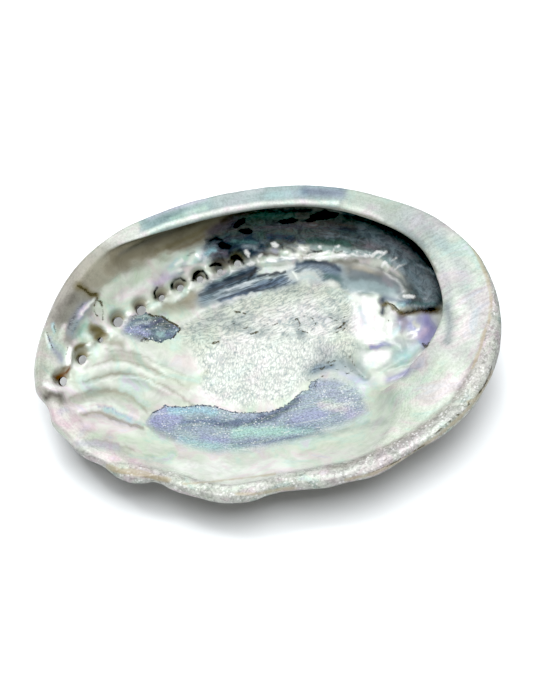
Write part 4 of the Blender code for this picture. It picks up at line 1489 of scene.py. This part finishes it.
def upper_paint(at, uneven, bowl, top, above, band):
    """Colours of the pale layer, the shelf and the lip's band."""
    canvas = Canvas(uneven, "pearl")
    canvas.areas(BOWL_AREAS, bowl)
    canvas.folds(bowl)
    canvas.wells(at, bowl)
    canvas.strokes(BOWL_STROKES, bowl)
    canvas.lay("pearl", above)
    canvas.areas(SHELF_AREAS, above)
    canvas.lay("ash", SHELF_ASH * above)
    canvas.at = at
    canvas.strokes(SHELF_STROKES, above)
    canvas.lay("frost", BAND_FROST * band * top)
    canvas.lay("stone", BAND_STONE * band * top)
    canvas.strokes(LIP_STROKES, top)
    return canvas.opaque()


def under_paint(uneven):
    """Colours of the older layer."""
    canvas = Canvas(uneven, "haze")
    canvas.strokes(UNDER_STROKES, np.ones(len(uneven)))
    return canvas.opaque()


def store_distances(mesh, at, layer, bowl, top):
    """Writes distances to outlines and marks, each where it counts."""
    distances = {
        "layer": (bowl, layer),
        "sheet": (bowl, outline_distance(at, PURPLE_SHEET)),
        # black and white hold the distances to the painted shade marks and to the painted highlight marks
        "black": (bowl, nearest_mark(at, SHADE_MARKS)),
        "white": (bowl, nearest_mark(at, HIGHLIGHT_MARKS)),
        "crack": (np.maximum(bowl, top), nearest_mark(at, CRACKS)),
        "tan": (top, nearest_mark(at, TAN_LINES)),
    }
    for name, (area, distance) in distances.items():
        store(mesh, name, np.where(area > 0.5, distance, FAR))


def mark(shell, mesh):
    """Writes what the material needs to know of each vertex."""
    at = shell.lens.pixels(shell.points)
    x, y = at.T
    uneven = at + 1.2 * drift(at, 5.0, 21) + 0.6 * drift(at, 2.2, 23)
    shelf = shares(SHELF_SHARE, shell.angle)
    rise = smoothstep(shell.station, *SHELF_TOP)
    top = shell.on_top()
    bowl = (1.0 - shelf * rise) * fade(shell.station, *BOWL_END)
    shelf_top = top * smoothstep(shelf, 0.2, 0.8) * rise
    above = np.maximum(shelf_top, top * smoothstep(x, *LIP_TURN_X) * (y < LIP_TURN_Y))
    band = fade(outline_distance(at, LIP_BAND), -1.0, 1.0)
    scar = outline_distance(uneven, SCAR) + 3.0 * lumps(at, 9.0, 26)
    dark = fade(outline_distance(uneven, DARK_WALL), -6.0, 8.0)
    layer = np.minimum(*(outline_distance(at, edge) for edge, _, _ in PATCHES))
    layer += 7.0 * lumps(at, 3.2, 27) * smoothstep(x, *RAGGED_X)
    deep = np.minimum(*(outline_distance(at, outline) for _, outline, _ in PATCHES))
    nearer = CRUST_RISE * np.clip(-1.5 * unit(shell.angle)[:, 1], 0.0, 1.0)
    values = {
        "upper": upper_paint(at, uneven, bowl, top, above, band),
        "under": under_paint(uneven),
        "depth": fade(deep, -5.0, 7.0) * bowl,
        "scar": fade(scar, -8.0, 4.0) * bowl,
        "combed": smoothstep(y + 6.0 * lumps(at, 14.0, 25), *COMBED_Y),
        "lined": bowl * fade(x, *LINED_X) * smoothstep(y, *LINED_Y),
        "band": band * top,
        "shelf": above,
        "feather": above * smoothstep(x, *FEATHER_X) * fade(y, *FEATHER_Y),
        "marble": dark * bowl * (1.0 - shelf_top),
        "crust": smoothstep(shell.station, CRUST_START[0] + nearer, CRUST_START[1] + nearer),
        "rim": smoothstep(shell.station, *SHEEN_START),
        "growth": Apex().growth_places(shell.points, *CRUST_TUBE),
        "flow": np.column_stack([FLOW_RADIUS * unit(shell.angle), np.interp(shell.station, *FLOW_TABLE)]),
    }
    for name, value in values.items():
        store(mesh, name, value)
    store_distances(mesh, at, layer, bowl, top)


class Graph:
    """Builds the nodes of a material or a world; its methods return sockets."""

    def __init__(self, owner):
        owner.use_nodes = True
        self.nodes = owner.node_tree.nodes
        self.links = owner.node_tree.links

    def plug(self, value, socket):
        """Links a socket, or sets a plain value or a named tint."""
        if isinstance(value, bpy.types.NodeSocket):
            self.links.new(value, socket)
        else:
            socket.default_value = self.colour(value)

    def feed(self, node, inputs):
        """Plugs values into a node's inputs, by name or number."""
        for name, value in inputs.items():
            self.plug(value, node.inputs[name])

    def node(self, kind, inputs, output=0, **settings):
        """A node with its settings and inputs, as its output socket."""
        node = self.nodes.new(kind)
        for name, value in settings.items():
            setattr(node, name, value)
        self.feed(node, inputs)
        return node.outputs[output]

    def colour(self, value):
        """The colour of a tint's name; anything else as it is."""
        return (*linear(TINTS[value]), 1.0) if isinstance(value, str) else value

    def attribute(self, name, output="Fac"):
        return self.node("ShaderNodeAttribute", {}, output, attribute_name=name)

    def math(self, operation, a, b=0.0, c=0.0):
        return self.node("ShaderNodeMath", {0: a, 1: b, 2: c}, operation=operation)

    def times(self, value, *others):
        """A product."""
        for other in others:
            value = self.math("MULTIPLY", value, other)
        return value

    def times_plus(self, a, b, c):
        """a times b, plus c."""
        return self.math("MULTIPLY_ADD", a, b, c)

    def step(self, value, low, high, bottom=0.0, top=1.0):
        """A smooth rise from bottom to top while the value goes from low to high."""
        inputs = {"Value": value, "From Min": low, "From Max": high, "To Min": bottom, "To Max": top}
        return self.node("ShaderNodeMapRange", inputs, interpolation_type="SMOOTHSTEP")

    def grey(self, tint):
        """A colour's brightness."""
        return self.node("ShaderNodeRGBToBW", {"Color": tint})

    def channel(self, tint, name="Red"):
        """One channel of a colour."""
        return self.node("ShaderNodeSeparateColor", {"Color": tint}, name)

    def scaled(self, where, scale):
        return self.node("ShaderNodeMapping", {"Vector": where, "Scale": scale})

    def combed(self, where, degrees, lengths):
        """A place in strands."""
        inputs = {"Vector": where, "Scale": lengths, "Rotation": (0.0, 0.0, math.radians(degrees))}
        return self.node("ShaderNodeMapping", inputs, vector_type="TEXTURE")

    def noise(self, where, scale, detail, rough, twist=0.0, output=0):
        """Noise by scale per metre, detail, roughness and distortion."""
        inputs = {"Vector": where, "Scale": scale, "Detail": detail, "Roughness": rough, "Distortion": twist}
        return self.node("ShaderNodeTexNoise", inputs, output)

    def cells(self, where, scale, feature="F1"):
        """Distance to cells' centres, or to their edges."""
        inputs = {"Vector": where, "Scale": scale}
        return self.node("ShaderNodeTexVoronoi", inputs, "Distance", feature=feature)

    def stirred(self, where, scale, reach):
        """A place shifted by noise, in metres."""
        inputs = {0: self.noise(where, scale, 2.0, 0.5, 0.0, 1), 1: (reach,) * 3, 2: where}
        return self.node("ShaderNodeVectorMath", inputs, operation="MULTIPLY_ADD")

    def mix(self, share, a, b, mode="MIX"):
        """A colour over another."""
        return self.node("ShaderNodeMix", {0: share, 6: a, 7: b}, 2, data_type="RGBA", blend_type=mode)

    def shade(self, tint, value, low, high, dark, light=1.0):
        """Darkens a colour where a value is low."""
        return self.mix(1.0, tint, self.step(value, low, high, dark, light), "MULTIPLY")

    def ramp(self, value, stops):
        """A colour ramp through (place, colour) stops."""
        node = self.nodes.new("ShaderNodeValToRGB")
        elements = node.color_ramp.elements
        while len(elements) < len(stops):
            elements.new(0.5)
        for element, (place, tint) in zip(elements, stops):
            element.position = place
            element.color = self.colour(tint)
        self.plug(value, node.inputs[0])
        return node.outputs[0]


class Nacre(Graph):
    """What the parts of the shell's material share: places, noises and what is stored at the vertices."""

    def __init__(self, material):
        super().__init__(material)
        self.where = self.node("ShaderNodeTexCoord", {}, "Object")
        self.flow = self.attribute("flow", "Vector")
        self.paint = self.attribute("upper", "Color")
        self.scar = self.attribute("scar")
        self.band = self.attribute("band")
        self.crust = self.attribute("crust")
        self.marble = self.attribute("marble")
        self.rim = self.attribute("rim")
        self.middle = self.noise(self.where, 260.0, 4.0, 0.6)
        self.fine = self.noise(self.where, 900.0, 4.0, 0.65)
        self.glitter = self.noise(self.where, 1500.0, 3.0, 0.8)
        self.streak = self.noise(self.scaled(self.flow, (0.07, 0.07, 1.6)), 1.0, 4.0, 0.6, 0.6)


def pale_layer(g):
    """The pale layer's paint, with pastel shimmer, streaks and grain."""
    hue = g.ramp(g.noise(g.where, 50.0, 4.0, 0.6, 1.6), SHIMMER)
    bright = g.step(g.grey(g.paint), 0.30, 0.62, 0.0, 0.42)
    plainer = g.math("MAXIMUM", g.marble, g.times(g.scar, 0.6))
    pale = g.mix(g.times(g.math("SUBTRACT", 1.0, plainer), bright), g.paint, hue, "COLOR")
    pale = g.shade(pale, g.noise(g.where, 150.0, 6.0, 0.7, 0.5), 0.35, 0.6, 0.84)
    feather = g.attribute("feather")
    streaked = g.times(g.rim, g.math("SUBTRACT", 1.0, feather))
    pale = g.mix(streaked, pale, g.shade(pale, g.streak, 0.36, 0.52, 0.9))
    barbs = g.noise(g.combed(g.where, *FEATHER_STRANDS), 1.0, 5.0, 0.65, 1.2)
    pale = g.mix(feather, pale, g.shade(pale, barbs, 0.36, 0.58, 0.86, 1.05))
    grain = g.noise(g.where, 1300.0, 3.0, 0.8)
    return g.mix(g.rim, pale, g.shade(pale, grain, 0.36, 0.6, 0.88, 1.06))


def wall_clouds(g, pale):
    """Dark clouds of the far wall."""
    wisps = g.noise(g.scaled(g.flow, (0.09, 0.09, 0.35)), 1.0, 4.0, 0.6, 1.0)
    mottle = g.noise(g.where, 420.0, 5.0, 0.7, 0.8)
    pale = g.mix(g.times(g.marble, 0.25), pale, g.ramp(wisps, CLOUDS))
    return g.mix(g.marble, pale, g.shade(pale, mottle, 0.34, 0.6, 0.65, 1.25))


def drawn_lines(g, pale):
    """Fine lines drawn out through the dusky blue paint of the floor."""
    drawn = g.noise(g.combed(g.where, *FLOOR_STRANDS), 1.0, 4.0, 0.6, 0.6)
    normal = g.node("ShaderNodeNewGeometry", {}, "Normal")
    upward = g.step(g.node("ShaderNodeSeparateXYZ", {"Vector": normal}, "Z"), 0.20, 0.45)
    bluer = g.step(g.math("SUBTRACT", g.channel(pale, "Blue"), g.channel(pale)), 0.0, 0.04)
    dusky = g.times(g.step(g.grey(pale), 0.44, 0.20), upward, bluer, g.attribute("lined"))
    return g.mix(dusky, pale, g.shade(pale, drawn, 0.40, 0.62, 0.48, 1.35))


def scar_floor(g, pale):
    """The scar: long strands above, combed short ones below, cloudy and pitted. Also its fibres."""
    combed = g.attribute("combed")
    stirred = g.stirred(g.where, 300.0, 0.0022)
    long_ones = g.cells(g.combed(stirred, *LONG_STRANDS), 1.0, "DISTANCE_TO_EDGE")
    short_ones = g.cells(g.combed(stirred, *SHORT_STRANDS), 1.0, "DISTANCE_TO_EDGE")
    edges = g.channel(g.mix(combed, long_ones, short_ones))
    fibres = g.times_plus(g.noise(g.where, 700.0, 4.0, 0.7), 0.9, g.times(edges, 0.9))
    tint = g.mix(0.72, pale, g.ramp(fibres, SCAR_FIBRES), "MULTIPLY")
    clouds = g.step(g.noise(g.where, 130.0, 6.0, 0.75, 1.0), 0.52, 0.66)
    clouds = g.times(clouds, g.times_plus(combed, -0.8, 1.0), 0.35)
    return g.mix(g.scar, pale, g.mix(clouds, tint, "haze", "MULTIPLY")), fibres


def older_layer(g, pale):
    """The older layer, seen through ragged windows. Also where they are open."""
    edge = g.math("ADD", g.attribute("layer"), g.times_plus(g.fine, 6.0, -3.0))
    depth = g.attribute("depth")
    sweep = g.noise(g.combed(g.where, *OLD_STRANDS), 1.0, 5.0, 0.65, 1.2)
    under = g.mix(0.3, g.attribute("under", "Color"), g.ramp(sweep, OLD_SWEEP))
    under = g.shade(under, g.glitter, 0.38, 0.60, 0.64, 1.16)
    specks = g.step(g.cells(g.where, 1000.0), 0.34, 0.16)
    specks = g.times(specks, g.step(g.noise(g.where, 240.0, 4.0, 0.7), 0.44, 0.58), 0.75)
    opened = g.times(g.step(edge, 0.5, -0.5), depth)
    tint = g.mix(opened, pale, g.mix(specks, under, "white"))
    ragged = g.times(g.step(g.math("ABSOLUTE", edge), 1.1, 0.4), g.step(depth, 0.4, 0.7))
    return g.mix(g.times(ragged, g.step(g.glitter, 0.44, 0.52)), tint, "navy"), opened


def sheet_and_marks(g, tint):
    """The sheet in the spire, black marks of painted shade and white marks of painted highlight."""
    sheet = g.step(g.times_plus(g.middle, 2.0, g.attribute("sheet")), 1.8, 0.2)
    tint = g.mix(sheet, tint, g.shade(g.paint, g.middle, 0.3, 0.6, 0.85, 1.05))
    uneven = g.times_plus(g.middle, 5.0, g.times(g.fine, 2.0))
    black = g.step(g.math("ADD", uneven, g.attribute("black")), 4.4, 2.0)
    white = g.step(g.math("ADD", uneven, g.attribute("white")), 4.5, 2.0)
    white = g.times(white, g.step(g.glitter, 0.3, 0.5, 0.5, 0.9))
    return g.mix(white, g.mix(black, tint, "ink"), "white")


def lip_band(g, tint):
    """The lip's crystalline band. Also its crystals."""
    crystals = g.noise(g.where, 620.0, 6.0, 0.78, 0.8)
    sparkle = g.times(g.step(g.cells(g.where, 900.0), 0.42, 0.20), g.step(g.middle, 0.44, 0.58), 0.6)
    frosted = g.mix(sparkle, g.shade(tint, crystals, 0.38, 0.58, 0.66, 1.14), "white")
    return g.mix(g.band, tint, frosted), crystals


def lines_and_cracks(g, tint):
    """Tan lines and cracks. Also where the cracks are."""
    tan = g.step(g.times_plus(g.middle, 4.0, g.attribute("tan")), 3.2, 1.0)
    crack = g.step(g.times_plus(g.fine, 3.0, g.attribute("crack")), 1.6, 0.8)
    crack = g.times(crack, g.step(g.glitter, 0.38, 0.5))
    tint = g.mix(g.times(tan, 0.6), tint, "tan")
    return g.mix(g.times(crack, 0.9), tint, g.mix(g.middle, "ink", "olive")), crack


def worn_crust(g, tint):
    """The crust. Also where it lies."""
    growth = g.attribute("growth", "Vector")
    bands = g.noise(g.scaled(growth, (0.05, 0.05, 0.55)), 1.0, 4.0, 0.6, 0.8)
    patches = g.times(g.step(g.noise(g.where, 90.0, 5.0, 0.65), 0.56, 0.64), 0.7)
    crust = g.mix(patches, g.ramp(bands, CRUST_BANDS), CRUST_PATCH)
    crust = g.mix(1.0, crust, g.ramp(g.fine, CRUST_GRAIN), "MULTIPLY")
    outside = g.step(g.times_plus(g.math("SUBTRACT", g.middle, 0.5), 1.2, g.crust), 0.35, 0.6)
    return g.mix(outside, tint, crust), outside


def nacre_material():
    """Nacre, scar, lip band and crust in one material, told apart by what is stored at the vertices."""
    material = bpy.data.materials.new("nacre")
    g = Nacre(material)
    pale, fibres = scar_floor(g, drawn_lines(g, wall_clouds(g, pale_layer(g))))
    tint, opened = older_layer(g, pale)
    tint, crystals = lip_band(g, sheet_and_marks(g, tint))
    tint, crack = lines_and_cracks(g, tint)
    tint, outside = worn_crust(g, tint)
    tint = g.mix(1.0, tint, PHOTO_LIGHT, "MULTIPLY")

    rough = NACRE_ROUGHNESS
    dim = g.step(g.grey(tint), 0.26, 0.10)
    shelf = g.attribute("shelf")
    for share, more in ((g.scar, 0.3), (dim, 0.38), (g.band, 0.15), (shelf, 0.30), (opened, 0.12)):
        rough = g.times_plus(share, more, rough)
    rough = g.math("ADD", g.times(g.math("SUBTRACT", CRUST_ROUGHNESS, rough), outside), rough)

    height = g.times(fibres, g.times(g.scar, 0.9))
    reliefs = ((g.band, 0.5), (g.crust, 1.2), (g.rim, 0.10), (opened, 0.5))
    for (share, rise), relief in zip(reliefs, (crystals, g.middle, g.streak, g.glitter)):
        height = g.times_plus(g.times(share, rise), relief, height)
    height = g.times_plus(g.fine, 0.10, height)
    for share, fall in ((crack, 0.8), (opened, 0.35)):
        height = g.math("SUBTRACT", height, g.times(share, fall))
    depth = {"Distance": BUMP_DEPTH, "Strength": BUMP_STRENGTH}
    bump = g.node("ShaderNodeBump", {"Height": height, **depth})
    looks = {"Base Color": tint, "Specular IOR Level": NACRE_SPECULAR, "Roughness": rough, "Normal": bump}
    g.feed(g.nodes["Principled BSDF"], looks)
    return material


def plain_material(name, tint, roughness):
    """A simple material."""
    material = bpy.data.materials.new(name)
    g = Graph(material)
    g.feed(g.nodes["Principled BSDF"], {"Base Color": tint, "Roughness": roughness})
    return material


def make_shell():
    """The whole shell as one object."""
    shell = Shell()
    shape_rim(shell)
    closed = closed_spots(shell)
    shape_lines(shell, FOLDS, FOLD_TAPER)
    shape_wells(shell)
    shape_lines(shell, RELIEF, 0.0)
    shape_scar(shell)
    shape_lip(shell)
    shape_shelf(shell)
    spots = open_spots(shell)
    shape_outside(shell, spots, closed)
    thing = new_object("shell", shell.points, shell.faces)
    cut(thing, make_cutter(spots, shell.lens))
    carry_over(shell, thing)
    mark(shell, thing.data)
    thing.data.shade_smooth()
    thing.data.set_sharp_from_angle(angle=math.radians(SHARP_ANGLE))
    thing.data.materials.clear()
    thing.data.materials.append(nacre_material())
    return thing


def make_floor():
    """A plain pale floor."""
    corners = ((-1.0, -1.0, 0.0), (1.0, -1.0, 0.0), (1.0, 1.0, 0.0), (-1.0, 1.0, 0.0))
    points = FLOOR_REACH * np.array(corners)
    floor = new_object("floor", points, [(0, 1, 2, 3)])
    floor.data.materials.append(plain_material("floor", FLOOR_TINT, FLOOR_ROUGHNESS))
    return floor


def make_light(name, place, size, energy):
    """A soft square light aimed at the shell."""
    lamp = bpy.data.lights.new(name, "AREA")
    lamp.shape = "SQUARE"
    lamp.size = size
    lamp.energy = energy
    holder = bpy.data.objects.new(name, lamp)
    holder.location = place
    aim = Vector(LIGHT_TARGET) - holder.location
    holder.rotation_euler = aim.to_track_quat("-Z", "Y").to_euler()
    bpy.context.scene.collection.objects.link(holder)


def make_world():
    """A surround that is white overhead and greyer towards the horizon."""
    world = bpy.data.worlds.new("studio")
    g = Graph(world)
    place = g.node("ShaderNodeTexCoord", {}, "Generated")
    upward = g.node("ShaderNodeSeparateXYZ", {"Vector": place}, "Z")
    span = {"From Max": OVERHEAD_START, "To Min": HORIZON_STRENGTH, "To Max": OVERHEAD_STRENGTH}
    rise = g.node("ShaderNodeMapRange", {"Value": upward, **span})
    g.feed(g.nodes["Background"], {"Color": (1.0, 1.0, 1.0, 1.0), "Strength": rise})
    bpy.context.scene.world = world


def make_camera():
    """The photograph's camera."""
    lens = Lens()
    data = bpy.data.cameras.new("camera")
    data.lens = LENS
    data.sensor_width = SENSOR
    camera = bpy.data.objects.new("camera", data)
    camera.location = Vector(lens.place * MM)
    camera.rotation_euler = Vector(lens.forward).to_track_quat("-Z", "Y").to_euler()
    bpy.context.scene.collection.objects.link(camera)
    bpy.context.scene.camera = camera


def main():
    """Builds the shell and its plain studio."""
    shell = make_shell()
    floor = make_floor()
    make_world()
    for name, place, size, energy in LIGHTS:
        make_light(name, place, size, energy)
    make_camera()
    view = bpy.context.scene.view_settings
    view.view_transform = "Standard"
    view.use_curve_mapping = True
    view.curve_mapping.black_level = (BLACK_LEVEL,) * 3
    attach(shell, "root")
    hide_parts("abalone_shell")
    floor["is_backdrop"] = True


main()
repr([[[float(v) for v in corner] for corner in box] for box in (cad_box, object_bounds())])
